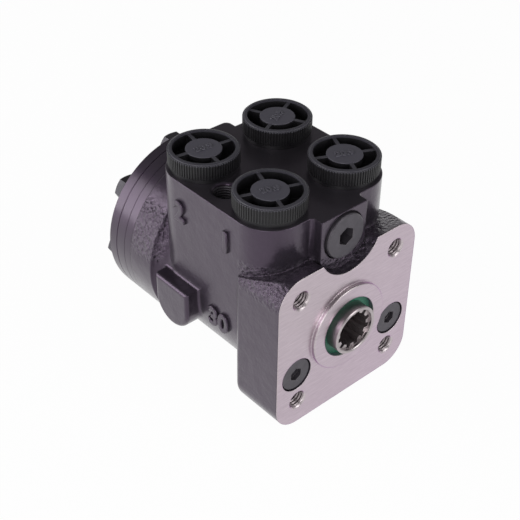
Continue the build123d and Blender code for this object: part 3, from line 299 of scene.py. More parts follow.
def bare_iron(tree, at, y):
    """Mask of what was cut after painting: mounting face, tapped holes and shaft bore."""
    milled = add(tree, "MapRange", {"Value": y, "From Min": MILLED_Y[0], "From Max": MILLED_Y[1]})
    folded = add(tree, "VectorMath", {0: at}, operation="ABSOLUTE")
    off_bolt = off_axis(tree, folded, (HALF_PITCH, 0, HALF_PITCH), ACROSS_SHAFT)
    tapped = add(tree, "Math", {0: off_bolt, 1: TAPPED_R}, operation="LESS_THAN")
    shallow = add(tree, "Math", {0: y, 1: TAPPED_END_Y}, operation="LESS_THAN")
    tapped = add(tree, "Math", {0: tapped, 1: shallow}, operation="MULTIPLY")
    off_shaft = off_axis(tree, at, (0, 0, 0), ACROSS_SHAFT)
    bored = add(tree, "Math", {0: off_shaft, 1: SHAFT_BORE_R}, operation="LESS_THAN")
    cut = add(tree, "Math", {0: milled, 1: tapped}, operation="MAXIMUM")
    return add(tree, "Math", {0: cut, 1: bored}, operation="MAXIMUM")


def port_shade_mask(tree, at, z):
    """Mask of the painted shade on the wall inside the open port on top."""
    off_port = off_axis(tree, at, (LS_AT.x, LS_AT.y, 0), ACROSS_UPRIGHT)
    wall = add(tree, "MapRange", {"Value": off_port, "From Min": PORT_SHADE_R[0], "From Max": PORT_SHADE_R[1]})
    below = add(tree, "MapRange", {"Value": z, "From Min": PORT_SHADE_Z[0], "From Max": PORT_SHADE_Z[1]})
    return add(tree, "Math", {0: wall, 1: below}, operation="MULTIPLY")


def rough_mould(tree, y, z):
    """Mask of the patches where the mould was rough."""
    rough = 0.0
    for limits in ROUGH_PATCHES:
        patch = 1.0
        for axis, edge, fade in zip((z, z, y, y), limits, ROUGH_FADES):
            side = {"Value": axis, "From Min": edge * MM, "From Max": (edge + fade) * MM}
            side = add(tree, "MapRange", side)
            patch = add(tree, "Math", {0: patch, 1: side}, operation="MULTIPLY")
        rough = add(tree, "Math", {0: rough, 1: patch}, operation="MAXIMUM")
    return rough


def cast_paint(look):
    """Sand-cast iron under one sprayed coat of satin black enamel, with milled faces left bare.

    The enamel fills the finest sand grain, so the casting shows soft lumps, a low sheen and a
    purple cast. The mounting face, the spigot ring and the tapped holes were cut after painting
    and show grey iron.
    """
    material, tree, shader = new_material("cast_iron_satin_black_enamel")
    at = add(tree, "TexCoord").outputs["Object"]
    y, z = add(tree, "SeparateXYZ", {0: at}).outputs[1:]
    bare = bare_iron(tree, at, y)
    rough = rough_mould(tree, y, z)
    milled_top = {"Value": z, "From Min": MILLED_TOP_Z[0], "From Max": MILLED_TOP_Z[1]}
    milled_top = add(tree, "MapRange", milled_top)
    smooth = add(tree, "Math", {0: bare, 1: milled_top}, operation="MAXIMUM")
    uneven = add(tree, "Math", {0: 1.0, 1: smooth}, operation="SUBTRACT")

    # Casting skin: broad lumps, pits in the rough patches, and sand grain.
    lumps = add(tree, "TexNoise", {"Vector": at, "Scale": 1 / LUMP_SIZE, "Detail": 2.0})
    pits = {"Vector": at, "Scale": 1 / PIT_SIZE}
    pits = add(tree, "TexVoronoi", pits, feature="SMOOTH_F1")
    grain = {"Vector": at, "Scale": 1 / GRAIN_SIZE, "Detail": 4.0, "Roughness": 0.6}
    grain = add(tree, "TexNoise", grain)
    pit_depth = add(tree, "Math", {0: rough, 1: PIT_DEPTH}, operation="MULTIPLY")
    grain_depth = {"Value": rough, "To Min": GRAIN_DEPTH, "To Max": ROUGH_GRAIN_DEPTH}
    grain_depth = add(tree, "MapRange", grain_depth)
    rounded = add(tree, "Bevel", {"Radius": look.edge_round}, samples=6)
    skin = rounded
    for height, depth in ((lumps, LUMP_DEPTH), (pits, pit_depth), (grain, grain_depth)):
        depth = add(tree, "Math", {0: depth, 1: uneven}, operation="MULTIPLY")
        skin = add(tree, "Bump", {"Height": height, "Distance": depth, "Normal": skin})

    # Painted highlights: corners and the crests between pits get a lighter enamel where glints fall.
    blotches = add(tree, "TexNoise", {"Vector": at, "Scale": 1 / BLOTCH_SIZE, "Detail": 3.0})
    enamel = {0: blotches, 6: linear(look.enamel_dark), 7: linear(look.enamel)}
    enamel = add(tree, "Mix", enamel, data_type="RGBA")
    corner = corner_mask(tree, rounded, PAINT_CORNER, CORNER_HIGHLIGHT)
    crest = {"Value": pits, "From Min": PIT_CREST[0], "From Max": PIT_CREST[1], "To Max": CREST_HIGHLIGHT}
    crest = add(tree, "Math", {0: add(tree, "MapRange", crest), 1: rough}, operation="MULTIPLY")
    highlight = look.enamel_highlight
    # Painted shade: the milled top face takes its own darker, less purple enamel for the shade it lies in.
    for mask, code in ((milled_top, look.enamel_top_shade), (corner, highlight), (crest, highlight)):
        enamel = {0: mask, 6: enamel.outputs[2], 7: linear(code)}
        enamel = add(tree, "Mix", enamel, data_type="RGBA")

    # Cutter marks in the bare iron: fine lines swept across the face.
    swept = {"Vector": at, "Scale": CUTTER_STRETCH, "Rotation": CUTTER_TURN}
    swept = add(tree, "Mapping", swept)
    cutter = {"Vector": swept, "Scale": 1 / CUTTER_SIZE, "Detail": 5.0, "Roughness": 0.7}
    cutter = add(tree, "TexNoise", cutter)
    iron = {0: cutter, 6: linear(look.iron_dark), 7: linear(look.iron)}
    iron = add(tree, "Mix", iron, data_type="RGBA")
    colour = {0: bare, 6: enamel.outputs[2], 7: iron.outputs[2]}
    colour = add(tree, "Mix", colour, data_type="RGBA")
    # Painted shade: the wall inside the open port is made near black.
    colour = {0: port_shade_mask(tree, at, z), 6: colour.outputs[2], 7: linear(look.port_shade_black)}
    colour = add(tree, "Mix", colour, data_type="RGBA")

    sheen = {"Value": grain, "To Min": CAST_ROUGHNESS[0], "To Max": CAST_ROUGHNESS[1]}
    sheen = add(tree, "MapRange", sheen)
    dull = {"Value": cutter, "To Min": MILLED_ROUGHNESS[0], "To Max": MILLED_ROUGHNESS[1]}
    dull = add(tree, "MapRange", dull)
    roughness = add(tree, "Mix", {0: bare, 2: sheen, 3: dull}, data_type="FLOAT")
    fill(tree, shader, enamel_gloss(look))
    fill(tree, shader, {
        "Base Color": colour.outputs[2], "Roughness": roughness, "Metallic": bare,
        "Normal": skin, "Coat Normal": skin,
    })
    return material


def turned_enamel(look):
    """Turned steel discs under the same satin enamel: smooth, with dark joints between them."""
    material, tree, shader = new_material("turned_steel_satin_enamel")
    at = add(tree, "TexCoord").outputs["Object"]
    y = add(tree, "SeparateXYZ", {0: at}).outputs["Y"]
    blotches = add(tree, "TexNoise", {"Vector": at, "Scale": 1 / DISC_BLOTCH_SIZE, "Detail": 3.0})
    colour = {0: blotches, 6: linear(look.enamel_dark), 7: linear(look.enamel)}
    colour = add(tree, "Mix", colour, data_type="RGBA")
    for node in ("distribution_plate", "gear_rim", "end_cover"):
        off = add(tree, "Math", {0: y, 1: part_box(node)[0].y}, operation="SUBTRACT")
        off = add(tree, "Math", {0: off}, operation="ABSOLUTE")
        seam = {"Value": off, "From Min": SEAM_OFF[0], "From Max": SEAM_OFF[1]}
        seam = add(tree, "MapRange", seam)
        colour = {0: seam, 6: colour.outputs[2], 7: linear(look.seam)}
        colour = add(tree, "Mix", colour, data_type="RGBA")
    peel = add(tree, "TexNoise", {"Vector": at, "Scale": 1 / DISC_PEEL_SIZE, "Detail": 2.0})
    rounded = add(tree, "Bevel", {"Radius": DISC_EDGE}, samples=4)
    skin = add(tree, "Bump", {"Height": peel, "Distance": DISC_PEEL_DEPTH, "Normal": rounded})
    sheen = {"Value": blotches, "To Min": DISC_ROUGHNESS[0], "To Max": DISC_ROUGHNESS[1]}
    sheen = add(tree, "MapRange", sheen)
    fill(tree, shader, enamel_gloss(look))
    fill(tree, shader, {
        "Base Color": colour.outputs[2], "Roughness": sheen, "Normal": skin, "Coat Normal": skin,
    })
    return material


def black_oxide(look, name, code, shine):
    """Blackened steel: dark metal with a dull oily gleam and lighter rubbed edges."""
    material, tree, shader = new_material(name)
    at = add(tree, "TexCoord").outputs["Object"]
    film = {"Vector": at, "Scale": 1 / OXIDE_FILM_SIZE, "Detail": 4.0, "Roughness": 0.6}
    film = add(tree, "TexNoise", film)
    rounded = add(tree, "Bevel", {"Radius": OXIDE_EDGE}, samples=4)
    rubbed = corner_mask(tree, rounded, STEEL_CORNER, OXIDE_RUBBED)
    oxide = {0: film, 6: linear(look.oxide_dark), 7: linear(code)}
    oxide = add(tree, "Mix", oxide, data_type="RGBA")
    colour = {0: rubbed, 6: oxide.outputs[2], 7: linear(look.iron_dark)}
    colour = add(tree, "Mix", colour, data_type="RGBA")
    gleam = {"Value": film, "To Min": shine, "To Max": shine + OXIDE_UNEVEN}
    gleam = add(tree, "MapRange", gleam)
    fill(tree, shader, {
        "Base Color": colour.outputs[2], "Roughness": gleam, "Metallic": OXIDE_METALLIC,
        "Normal": rounded,
    })
    return material


def bare_steel(look, name, code, mark_size, shiniest, dullest):
    """Ground or turned bare steel: rings round the shaft axis, bright and slightly uneven."""
    material, tree, shader = new_material(name)
    at = add(tree, "TexCoord").outputs["Object"]
    rings = add(tree, "Mapping", {"Vector": at, "Scale": GRIND_STRETCH})
    lines = {"Vector": rings, "Scale": 1 / mark_size, "Detail": 4.0, "Roughness": 0.7}
    lines = add(tree, "TexNoise", lines)
    stain = add(tree, "TexNoise", {"Vector": at, "Scale": 1 / STAIN_SIZE, "Detail": 2.0})
    colour = {0: stain, 6: linear(look.iron_dark), 7: linear(code)}
    colour = add(tree, "Mix", colour, data_type="RGBA")
    gleam = add(tree, "MapRange", {"Value": lines, "To Min": shiniest, "To Max": dullest})
    scored = add(tree, "Bump", {"Height": lines, "Distance": GRIND_DEPTH})
    fill(tree, shader, {
        "Base Color": colour.outputs[2], "Roughness": gleam, "Metallic": 1.0, "Normal": scored,
    })
    return material


def rubber(name, code, roughness):
    """Moulded nitrile rubber: matt, with a faint bloom."""
    material, tree, shader = new_material(name)
    at = add(tree, "TexCoord").outputs["Object"]
    bloom = add(tree, "TexNoise", {"Vector": at, "Scale": 1 / BLOOM_SIZE, "Detail": 3.0})
    soft = {"Value": bloom, "To Min": roughness - BLOOM_UNEVEN, "To Max": roughness + BLOOM_UNEVEN}
    soft = add(tree, "MapRange", soft)
    skin = add(tree, "Bump", {"Height": bloom, "Distance": BLOOM_DEPTH})
    fill(tree, shader, {"Base Color": linear(code), "Roughness": soft, "Normal": skin})
    return material


def cap_top_light(tree, at):
    """Mask of the painted light on the caps' upper faces: full on the hubs, weaker on spokes and rims."""
    moved = add(tree, "VectorMath", {0: at, 1: (0, PORTS_MID_Y, 0)}, operation="SUBTRACT")
    folded = add(tree, "VectorMath", {0: moved}, operation="ABSOLUTE")
    reach = off_axis(tree, folded, (PORT_HALF_X, PORT_HALF_Y, 0), ACROSS_UPRIGHT)
    hub = {"Value": reach, "From Min": HUB_FACE_R[0], "From Max": HUB_FACE_R[1]}
    hub = add(tree, "MapRange", {**hub, "To Min": RIM_LIGHT_SHARE})
    z = add(tree, "SeparateXYZ", {0: at}).outputs["Z"]
    top = add(tree, "MapRange", {"Value": z, "From Min": CAP_FACE_Z[0], "From Max": CAP_FACE_Z[1]})
    return add(tree, "Math", {0: hub, 1: top}, operation="MULTIPLY")


def moulded_plastic(look):
    """Injection-moulded black polyethylene: near black, softly shiny, with a fine matt grain."""
    material, tree, shader = new_material("moulded_black_polyethylene")
    at = add(tree, "TexCoord").outputs["Object"]
    flow = add(tree, "TexNoise", {"Vector": at, "Scale": 1 / PLASTIC_FLOW_SIZE, "Detail": 3.0})
    grain = add(tree, "TexNoise", {"Vector": at, "Scale": 1 / PLASTIC_GRAIN_SIZE, "Detail": 2.0})
    rounded = add(tree, "Bevel", {"Radius": PLASTIC_EDGE}, samples=4)
    skin = {"Height": grain, "Distance": PLASTIC_GRAIN_DEPTH, "Normal": rounded}
    skin = add(tree, "Bump", skin)
    colour = {0: flow, 6: linear(look.plastic_dark), 7: linear(look.plastic)}
    colour = add(tree, "Mix", colour, data_type="RGBA")
    # Painted light: the upper faces of the caps are made lighter where light falls on them.
    colour = {0: cap_top_light(tree, at), 6: colour.outputs[2], 7: linear(look.plastic_lit_top)}
    colour = add(tree, "Mix", colour, data_type="RGBA")
    sheen = {"Value": flow, "To Min": PLASTIC_ROUGHNESS[0], "To Max": PLASTIC_ROUGHNESS[1]}
    sheen = add(tree, "MapRange", sheen)
    fill(tree, shader, {"Base Color": colour.outputs[2], "Roughness": sheen, "Normal": skin})
    return material


# ---------------------------------------------------------------------------
# Properties


def hex_property(name, description, default):
    """A colour kept as a hex sRGB string."""
    return bpy.props.StringProperty(name=name, description=description, default=default)


def length_property(name, description, default):
    """A length in metres."""
    return bpy.props.FloatProperty(name=name, description=description, default=default, unit="LENGTH")


def angle_property(name, description, degrees):
    """An angle, given in degrees and kept in radians."""
    return bpy.props.FloatProperty(
        name=name, description=description, default=radians(degrees), subtype="ANGLE")


def level_property(name, description, default):
    """A power, a strength or another plain number."""
    return bpy.props.FloatProperty(name=name, description=description, default=default)


class STEERING_PG_look(bpy.types.PropertyGroup):
    """Colours and the rounding of painted edges."""

    enamel: hex_property("Enamel", "Satin enamel on the castings", "#2f2b32")
    enamel_dark: hex_property("Enamel, dark", "Darker patches of the enamel", "#232025")
    # Painted shade: a darker, neutral enamel for the top face, which is the same paint as the sides.
    enamel_top_shade: hex_property("Enamel, top face", "Thin dark enamel on the milled port face", "#2c2a2e")
    # Painted highlight: lighter enamel laid on corners and pit crests in place of glints.
    enamel_highlight: hex_property("Enamel, worn", "Thin paint on corners", "#5d5860")
    gloss_tint: hex_property("Enamel gloss", "Purple cast of the shine in the paint", "#e8b4f4")
    seam: hex_property("Seams", "Shadowed joints between the discs", "#0d0b0f")
    # Painted shade inside the open port.
    port_shade_black: hex_property("Open port", "Oily wall of the open port", "#121113")
    iron: hex_property("Milled iron", "Bare milled cast iron", "#d8ced1")
    iron_dark: hex_property("Milled iron, dark", "Darker cutter marks", "#9c9396")
    tapped: hex_property("Tapped iron", "Thread crests in the mounting holes", "#8f8689")
    steel: hex_property("Ground steel", "Spool and sleeve", "#c2bbbc")
    oxide: hex_property("Plug steel", "Blackened plugs", "#5c585f")
    oxide_dark: hex_property("Plug steel, dark", "Darker film on blackened steel", "#3b383e")
    bolt: hex_property("Bolts", "Painted cover bolts", "#38353b")
    seal: hex_property("Dust seal", "Green nitrile seal", "#0d6a50")
    seal_black: hex_property("Black seals", "Black nitrile seals inside", "#161616")
    plastic: hex_property("Cap plastic", "Moulded thread protectors", "#1b1a1d")
    plastic_dark: hex_property("Cap plastic, dark", "Darker flow marks", "#111013")
    # Painted light: lighter plastic for the caps' upper faces.
    plastic_lit_top: hex_property("Cap hub", "Polished hubs of the thread protectors", "#4d4b55")
    edge_round: length_property("Edge rounding", "Paint and casting radius on sharp edges", 0.9 * MM)


class STEERING_PG_detail(bpy.types.PropertyGroup):
    """Sizes of threads, thread protectors and marks."""

    mount_thread_pitch: length_property("Mounting thread pitch", "M10 coarse", 1.5 * MM)
    port_thread_pitch: length_property("Small port pitch", "G 1/4, 19 threads per inch", 1.337 * MM)
    thread_depth: length_property("Thread crest", "How far a crest stands into the hole", 0.45 * MM)
    rib_count: bpy.props.IntProperty(
        name="Ribs round a cap", description="Grip ribs on each thread protector", default=80)
    rib_depth: length_property("Rib depth", "Height of a grip rib", 0.55 * MM)
    cap_wall: length_property("Cap wall", "Wall of a thread protector with its ribs", 2.2 * MM)
    hub_sunk: length_property("Hub sunk", "How far a hub lies below the rim", 0.7 * MM)
    hub_number: length_property("Hub number height", "Size in mm moulded on each hub", 3.6 * MM)
    spoke_width: length_property("Spoke width", "Spokes of a thread protector", 1.7 * MM)
    turn_left: angle_property("Left cap turn", "How far the cap is screwed round", -20)
    turn_right: angle_property("Right cap turn", "How far the cap is screwed round", -10)
    turn_pump: angle_property("Pump cap turn", "How far the cap is screwed round", -25)
    turn_tank: angle_property("Tank cap turn", "How far the cap is screwed round", 25)
    mark_height: length_property("Cast number height", "Numbers cast on the side", 9.6 * MM)
    mark_relief: length_property("Cast number relief", "How far cast numbers stand out", 1.0 * MM)


class STEERING_PG_stage(bpy.types.PropertyGroup):
    """Camera, lamps and floor."""

    rear_left_power: level_property("Rear left lamp", "Softbox behind on the left, in watts", 7.0)
    front_left_power: level_property("Front left lamp", "Softbox in front on the left, in watts", 5.0)
    front_power: level_property("Front lamp", "Softbox in front, in watts", 4.0)
    horizon: level_property("Horizon", "Sky strength at eye level", 0.8)
    ceiling: level_property("Ceiling", "Sky strength overhead", 0.12)
    floor_white: level_property(
        "Floor white", "Share of the floor that glows white, the rest takes shadow", 0.97)
    lens: level_property("Lens", "Focal length on a 36 mm sensor, in mm", 74.09)
    azimuth: angle_property("Azimuth", "Camera turned about Z from looking along +Y", -41.946)
    elevation: angle_property("Elevation", "Camera above the horizon", 37.265)
    roll: angle_property("Roll", "Camera turned about its own axis", 0.744)
    eye: bpy.props.FloatVectorProperty(
        name="Eye", description="Camera position", default=(-0.276880, -0.248817, 0.317665),
        subtype="TRANSLATION", unit="LENGTH")


# ---------------------------------------------------------------------------
# Mesh helpers


def piece_from(bm, name, body, material):
    """Turn a bmesh into a piece that rides on a body and wears a material."""
    mesh = bpy.data.meshes.new(name)
    bm.to_mesh(mesh)
    bm.free()
    piece = bpy.data.objects.new(name, mesh)
    bpy.context.scene.collection.objects.link(piece)
    mesh.materials.append(material)
    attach(piece, body)
    return piece


def thread_ridge(bm, mouth, inwards, radius, pitch, length, depth):
    """A helical crest on a hole's wall; mouth is the hole's mouth, inwards its direction."""
    side = inwards.orthogonal().normalized()
    turns = int(length / pitch)
    root = radius + THREAD_INTO_WALL
    crest = radius - depth
    corners = [
        bm.verts.new(mouth + side * reach + inwards * share * pitch)
        for reach, share in zip((root, crest, crest, root), THREAD_SHARES)
    ]
    first = [bm.edges.new(pair) for pair in zip(corners, corners[1:] + corners[:1])]
    made = bmesh.ops.spin(
        bm, geom=first, cent=mouth, axis=inwards, dvec=inwards * pitch / THREAD_STEPS,
        angle=turns * 2 * pi, steps=turns * THREAD_STEPS, use_duplicate=False)
    last = [e for e in made["geom_last"] if isinstance(e, bmesh.types.BMEdge)]
    bmesh.ops.contextual_create(bm, geom=first)
    bmesh.ops.contextual_create(bm, geom=last)
    bmesh.ops.recalc_face_normals(bm, faces=bm.faces)


def cap_cup(bm, bottom, top, detail):
    """The round body of a thread protector about the Z axis: shank, collar, wall and floor."""
    wall = CAP_R - detail.rib_depth
    inside = CAP_R - detail.cap_wall
    outline = (
        (0, bottom),
        (SHANK_R, bottom),
        (SHANK_R, BLOCK_TOP),
        (COLLAR_R, BLOCK_TOP),
        (COLLAR_R, COLLAR_TOP),
        (wall, COLLAR_TOP),
        (wall, top - CUP_EDGE),
        (wall - CUP_EDGE_MID[0] * CUP_EDGE, top - CUP_EDGE_MID[1] * CUP_EDGE),
        (wall - CUP_EDGE, top),
        (inside, top),
        (inside, CUP_FLOOR),
        (0, CUP_FLOOR),
    )
    points = [bm.verts.new((r, 0, z)) for r, z in outline]
    edges = [bm.edges.new(pair) for pair in zip(points, points[1:])]
    bmesh.ops.spin(bm, geom=points + edges, cent=(0, 0, 0), axis=(0, 0, 1), angle=2 * pi,
                   steps=CUP_STEPS, use_merge=True)
    bmesh.ops.remove_doubles(bm, verts=bm.verts, dist=0.001 * MM)
    bmesh.ops.recalc_face_normals(bm, faces=bm.faces)


def cap_spokes(bm, top, turn, detail):
    """The hub of a thread protector and its spokes."""
    hub_top = top - detail.hub_sunk
    hub = bmesh.ops.create_cone(bm, cap_ends=True, segments=HUB_STEPS, radius1=HUB_R,
                                radius2=HUB_R, depth=hub_top - HUB_BOTTOM)["verts"]
    bmesh.ops.translate(bm, vec=(0, 0, (hub_top + HUB_BOTTOM) / 2), verts=hub)
    upper = {v for v in hub if v.co.z > hub_top - HUB_EDGE}
    rim = [e for e in bm.edges if upper.issuperset(e.verts)]
    bmesh.ops.bevel(bm, geom=rim, offset=HUB_EDGE, segments=2, profile=0.5, affect="EDGES",
                    material=-1)
    inner = HUB_R - SPOKE_INTO_HUB
    outer = CAP_R - detail.cap_wall + SPOKE_INTO_WALL
    spoke_top = hub_top - SPOKE_BELOW_HUB
    size = (outer - inner, detail.spoke_width, spoke_top - HUB_BOTTOM)
    middle = ((outer + inner) / 2, 0, (spoke_top + HUB_BOTTOM) / 2)
    for k in range(SPOKES):
        spoke = bmesh.ops.create_cube(bm, size=1.0)["verts"]
        bmesh.ops.scale(bm, vec=size, verts=spoke)
        bmesh.ops.translate(bm, vec=middle, verts=spoke)
        place = Matrix.Rotation(turn + k * 2 * pi / SPOKES, 3, "Z")
        bmesh.ops.rotate(bm, cent=(0, 0, 0), matrix=place, verts=spoke)


def cap_ribs(bm, top, detail):
    """The grip ribs round a thread protector."""
    others = set(bm.faces)
    count = detail.rib_count
    pitch = 2 * pi * CAP_R / count
    high = top - RIB_BELOW_RIM
    depth = detail.rib_depth + RIB_INTO_WALL
    rib = bmesh.ops.create_cube(bm, size=1.0)["verts"]
    bmesh.ops.scale(bm, vec=(depth, pitch * RIB_WIDTH, high - RIB_BOTTOM), verts=rib)
    bmesh.ops.translate(bm, vec=(CAP_R - depth / 2, 0, (RIB_BOTTOM + high) / 2), verts=rib)
    outer = {v for v in rib if v.co.x > CAP_R - depth / 2}
    corners = [e for e in bm.edges if outer.issuperset(e.verts)]
    bmesh.ops.bevel(bm, geom=corners, offset=pitch * RIB_CHAMFER, segments=1, profile=0.5,
                    affect="EDGES", material=-1)
    faces = [f for f in bm.faces if f not in others]
    points = {v for f in faces for v in f.verts}
    verts = [v for v in bm.verts if v in points]
    edges = [e for e in bm.edges if points.issuperset(e.verts)]
    bmesh.ops.spin(bm, geom=verts + edges + faces, cent=(0, 0, 0), axis=(0, 0, 1),
                   angle=2 * pi * (count - 1) / count, steps=count - 1, use_duplicate=True)


def add_numbers(bm, words, height, thickness, place):
    """Put raised numbers into a bmesh; before place is applied they stand on z = 0, centred."""
    curve = bpy.data.curves.new("numbers", "FONT")
    curve.body = words
    curve.size = height / DIGIT_SHARE
    curve.align_x = "CENTER"
    curve.align_y = "CENTER"
    curve.extrude = thickness / 2
    curve.bevel_depth = thickness * DIGIT_BEVEL
    curve.bevel_resolution = 1
    curve.offset = height * DIGIT_WEIGHT
    curve.resolution_u = DIGIT_STEPS
    holder = bpy.data.objects.new("numbers", curve)
    bpy.context.scene.collection.objects.link(holder)
    mesh = bpy.data.meshes.new_from_object(holder)
    bpy.data.objects.remove(holder)
    mesh.transform(place @ Matrix.Translation((0, 0, thickness / 2)))
    bm.from_mesh(mesh)
    bpy.data.meshes.remove(mesh)


# ---------------------------------------------------------------------------
# Stage helpers


def add_floor(scene, stage):
    """A floor that is white to the eye and in reflections, with the shadow left in."""
    bm = bmesh.new()
    bmesh.ops.create_grid(bm, x_segments=1, y_segments=1, size=FLOOR_HALF)
    bmesh.ops.translate(bm, vec=(0, 0, CAD_BOX[0].z - FLOOR_BELOW), verts=bm.verts)
    mesh = bpy.data.meshes.new("floor")
    bm.to_mesh(mesh)
    bm.free()
    floor = bpy.data.objects.new("floor", mesh)
    scene.collection.objects.link(floor)
    material, tree, shader = new_material("white_floor")
    fill(tree, shader, {"Base Color": linear("#f3f3f3"), "Roughness": 0.9})
    path = add(tree, "LightPath").outputs
    glow = add(tree, "Emission", {"Color": linear("#ffffff"), "Strength": 1.0})
    seen = {0: path["Is Camera Ray"], 1: path["Is Glossy Ray"]}
    seen = add(tree, "Math", seen, operation="MAXIMUM")
    share = add(tree, "Math", {0: seen, 1: stage.floor_white}, operation="MULTIPLY")
    mixed = add(tree, "MixShader", {0: share, 1: shader, 2: glow})
    fill(tree, tree.nodes["Material Output"], {"Surface": mixed})
    mesh.materials.append(material)


def add_sky(scene, stage):
    """White behind the object, and a dark ceiling above it."""
    world = bpy.data.worlds.new("studio")
    scene.world = world
    world.use_nodes = True
    tree = world.node_tree
    direction = add(tree, "TexCoord").outputs["Generated"]
    height = add(tree, "SeparateXYZ", {0: direction}).outputs["Z"]
    dimmed = add(tree, "MapRange", {
        "Value": height, "From Max": CEILING_FROM, "To Min": stage.horizon, "To Max": stage.ceiling,
    })
    seen = add(tree, "LightPath").outputs["Is Camera Ray"]
    level = add(tree, "Mix", {0: seen, 2: dimmed, 3: 1.0}, data_type="FLOAT")
    fill(tree, tree.nodes["Background"], {"Color": linear("#ffffff"), "Strength": level})


def add_softboxes(scene, stage):
    """Square lamps that face the object's middle."""
    middle = (CAD_BOX[0] + CAD_BOX[1]) / 2
    for name, at, size, power in SOFTBOXES:
        lamp = bpy.data.lights.new(name, "AREA")
        lamp.size = size
        lamp.energy = getattr(stage, power)
        holder = bpy.data.objects.new(name, lamp)
        holder.location = middle + Vector(at)
        holder.rotation_mode = "QUATERNION"
        holder.rotation_quaternion = Vector(at).to_track_quat("Z", "Y")
        scene.collection.objects.link(holder)


def add_camera(scene, stage):
    """The camera at its eye point, turned by azimuth, elevation and roll."""
    lens = bpy.data.cameras.new("camera")
    lens.lens = stage.lens
    lens.sensor_width = SENSOR_MM
    lens.clip_start = CLIP_START
    lens.clip_end = CLIP_END
    camera = bpy.data.objects.new("camera", lens)
    az = stage.azimuth
    el = stage.elevation
    back = Vector((sin(az) * cos(el), -cos(az) * cos(el), sin(el)))
    turn = back.to_track_quat("Z", "Y").to_matrix() @ Matrix.Rotation(stage.roll, 3, "Z")
    camera.matrix_world = Matrix.Translation(stage.eye) @ turn.to_4x4()
    scene.collection.objects.link(camera)
    scene.camera = camera


# ---------------------------------------------------------------------------
# Operators


class STEERING_OT_finishes(bpy.types.Operator):
    """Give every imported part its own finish"""

    bl_idname = "steering.finishes"
    bl_label = "Part finishes"

    def execute(self, context):
        look = context.scene.steering_look
        ground = bare_steel(
            look, "ground_steel", look.steel, mark_size=1.2 * MM, shiniest=0.3, dullest=0.44)
        machined = bare_steel(
            look, "machined_steel", look.iron, mark_size=1.0 * MM, shiniest=0.3, dullest=0.45)
        finish_of = {
            "cast_black": cast_paint(look),
            "disc_black": turned_enamel(look),
            "bolt_black": black_oxide(look, "painted_bolt", look.bolt, shine=0.32),
            "plug_steel": black_oxide(look, "black_oxide_plug", look.oxide, shine=0.36),
            "ground_steel": ground,
            "ball_steel": ground,
            "sintered_steel": machined,
            "spring_steel": machined,
            "green_rubber": rubber("green_nitrile", look.seal, roughness=0.45),
            "black_rubber": rubber("black_nitrile", look.seal_black, roughness=0.6),
            "cap_plastic": moulded_plastic(look),
        }
        for part in frame["record"]["subparts"]:
            slots = frame["nodes"][part["node"]].data.materials
            slots.clear()
            slots.append(finish_of[part["material_slot"]])
        return {"FINISHED"}


class STEERING_OT_threads(bpy.types.Operator):
    """Cut threads in the mounting holes and in the open port"""

    bl_idname = "steering.threads"
    bl_label = "Threads"

    def execute(self, context):
        detail = context.scene.steering_detail
        look = context.scene.steering_look
        iron = bare_steel(
            look, "tapped_iron", look.tapped, mark_size=0.8 * MM, shiniest=0.34, dullest=0.46)
        rear = Vector((0, 1, 0))
        down = Vector((0, 0, -1))
        bm = bmesh.new()
        for x in (-HALF_PITCH, HALF_PITCH):
            for z in (-HALF_PITCH, HALF_PITCH):
                mouth = Vector((x, MOUNT_THREAD_START, z))
                thread_ridge(bm, mouth, rear, MOUNT_HOLE_R, detail.mount_thread_pitch,
                             MOUNT_THREAD_LENGTH, detail.thread_depth)
        piece_from(bm, "mount_threads", "frame", iron)
        bm = bmesh.new()
        mouth = Vector((LS_AT.x, LS_AT.y, PORT_THREAD_START))
        thread_ridge(bm, mouth, down, LS_HOLE_R, detail.port_thread_pitch,
                     PORT_THREAD_LENGTH, detail.thread_depth)
        # Painted shade: the port's thread crests take the dark blackened steel of the plugs.
        port_shade_finish = bpy.data.materials["black_oxide_plug"]
        piece_from(bm, "port_threads", "frame", port_shade_finish)
        return {"FINISHED"}


class STEERING_OT_caps(bpy.types.Operator):
    """Mould the four thread protectors with thin spokes, grip ribs and numbered hubs"""

    bl_idname = "steering.caps"
    bl_label = "Thread protectors"

    def execute(self, context):
        detail = context.scene.steering_detail
        plastic = bpy.data.materials["moulded_black_polyethylene"]
        for name in ("left", "right", "pump", "tank"):
            turn = getattr(detail, f"turn_{name}")
            low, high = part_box(f"port_cap_{name}")
            bm = bmesh.new()
            cap_cup(bm, low.z, high.z, detail)
            cap_spokes(bm, high.z, turn, detail)
            cap_ribs(bm, high.z, detail)
            number_low = high.z - detail.hub_sunk - HUB_NUMBER_SUNK
            place = Matrix.Translation((0, 0, number_low)) @ Matrix.Rotation(turn, 4, "Z")
            thickness = HUB_NUMBER_RELIEF + HUB_NUMBER_SUNK
            add_numbers(bm, HUB_NUMBER, detail.hub_number, thickness, place)
            axis = ((low.x + high.x) / 2, (low.y + high.y) / 2, 0)
            bmesh.ops.translate(bm, vec=axis, verts=bm.verts)
            piece = piece_from(bm, f"thread_protector_{name}", f"cap_{name}", plastic)
            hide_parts(f"port_cap_{name}")
        return {"FINISHED"}


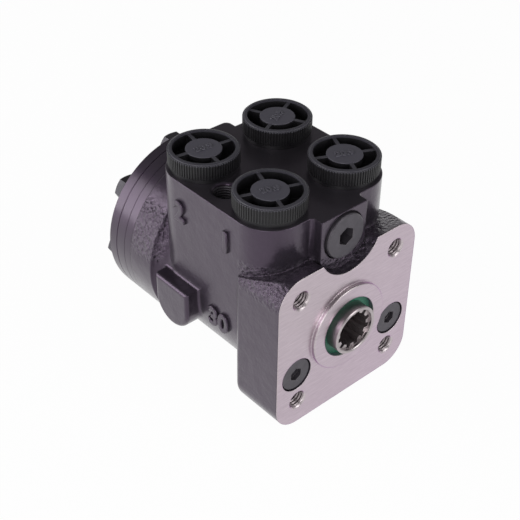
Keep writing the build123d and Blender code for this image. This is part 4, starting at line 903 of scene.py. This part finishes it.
class STEERING_OT_marks(bpy.types.Operator):
    """Cast plain numbers on the side of the housing"""

    bl_idname = "steering.marks"
    bl_label = "Cast numbers"

    def execute(self, context):
        detail = context.scene.steering_detail
        thickness = detail.mark_relief + CAST_NUMBER_SUNK
        bm = bmesh.new()
        for words, y, z in CAST_NUMBERS:
            place = Matrix.Translation((SIDE_X + CAST_NUMBER_SUNK, y, z)) @ ON_LEFT_SIDE
            add_numbers(bm, words, detail.mark_height, thickness, place)
        cast = bpy.data.materials["cast_iron_satin_black_enamel"]
        piece_from(bm, "cast_numbers", "frame", cast)
        return {"FINISHED"}


class STEERING_OT_stage(bpy.types.Operator):
    """Set the floor, sky, lamps and camera"""

    bl_idname = "steering.stage"
    bl_label = "Stage"

    def execute(self, context):
        scene = context.scene
        stage = scene.steering_stage
        add_floor(scene, stage)
        add_sky(scene, stage)
        add_softboxes(scene, stage)
        add_camera(scene, stage)
        scene.view_settings.view_transform = "Standard"
        return {"FINISHED"}


class STEERING_PT_panel(bpy.types.Panel):
    """Lists the steps that finish the steering unit"""

    bl_idname = "STEERING_PT_panel"
    bl_label = "Steering Unit"
    bl_space_type = "VIEW_3D"
    bl_region_type = "UI"
    bl_category = "Steering Unit"

    def draw(self, context):
        for operator in OPERATORS:
            self.layout.operator(operator.bl_idname)


OPERATORS = (
    STEERING_OT_finishes,
    STEERING_OT_threads,
    STEERING_OT_caps,
    STEERING_OT_marks,
    STEERING_OT_stage,
)
GROUPS = {
    "steering_look": STEERING_PG_look,
    "steering_detail": STEERING_PG_detail,
    "steering_stage": STEERING_PG_stage,
}


def register():
    """Register the properties, operators and panel."""
    for name, group in GROUPS.items():
        bpy.utils.register_class(group)
        setattr(bpy.types.Scene, name, bpy.props.PointerProperty(type=group))
    for operator in OPERATORS:
        bpy.utils.register_class(operator)
    bpy.utils.register_class(STEERING_PT_panel)


def unregister():
    """Take them away again."""
    bpy.utils.unregister_class(STEERING_PT_panel)
    for operator in reversed(OPERATORS):
        bpy.utils.unregister_class(operator)
    for name, group in GROUPS.items():
        delattr(bpy.types.Scene, name)
        bpy.utils.unregister_class(group)


def main():
    """Finish the unit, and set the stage."""
    register()
    bpy.ops.steering.finishes()
    bpy.ops.steering.threads()
    bpy.ops.steering.caps()
    bpy.ops.steering.marks()
    bpy.ops.steering.stage()


if __name__ == "__main__":
    main()
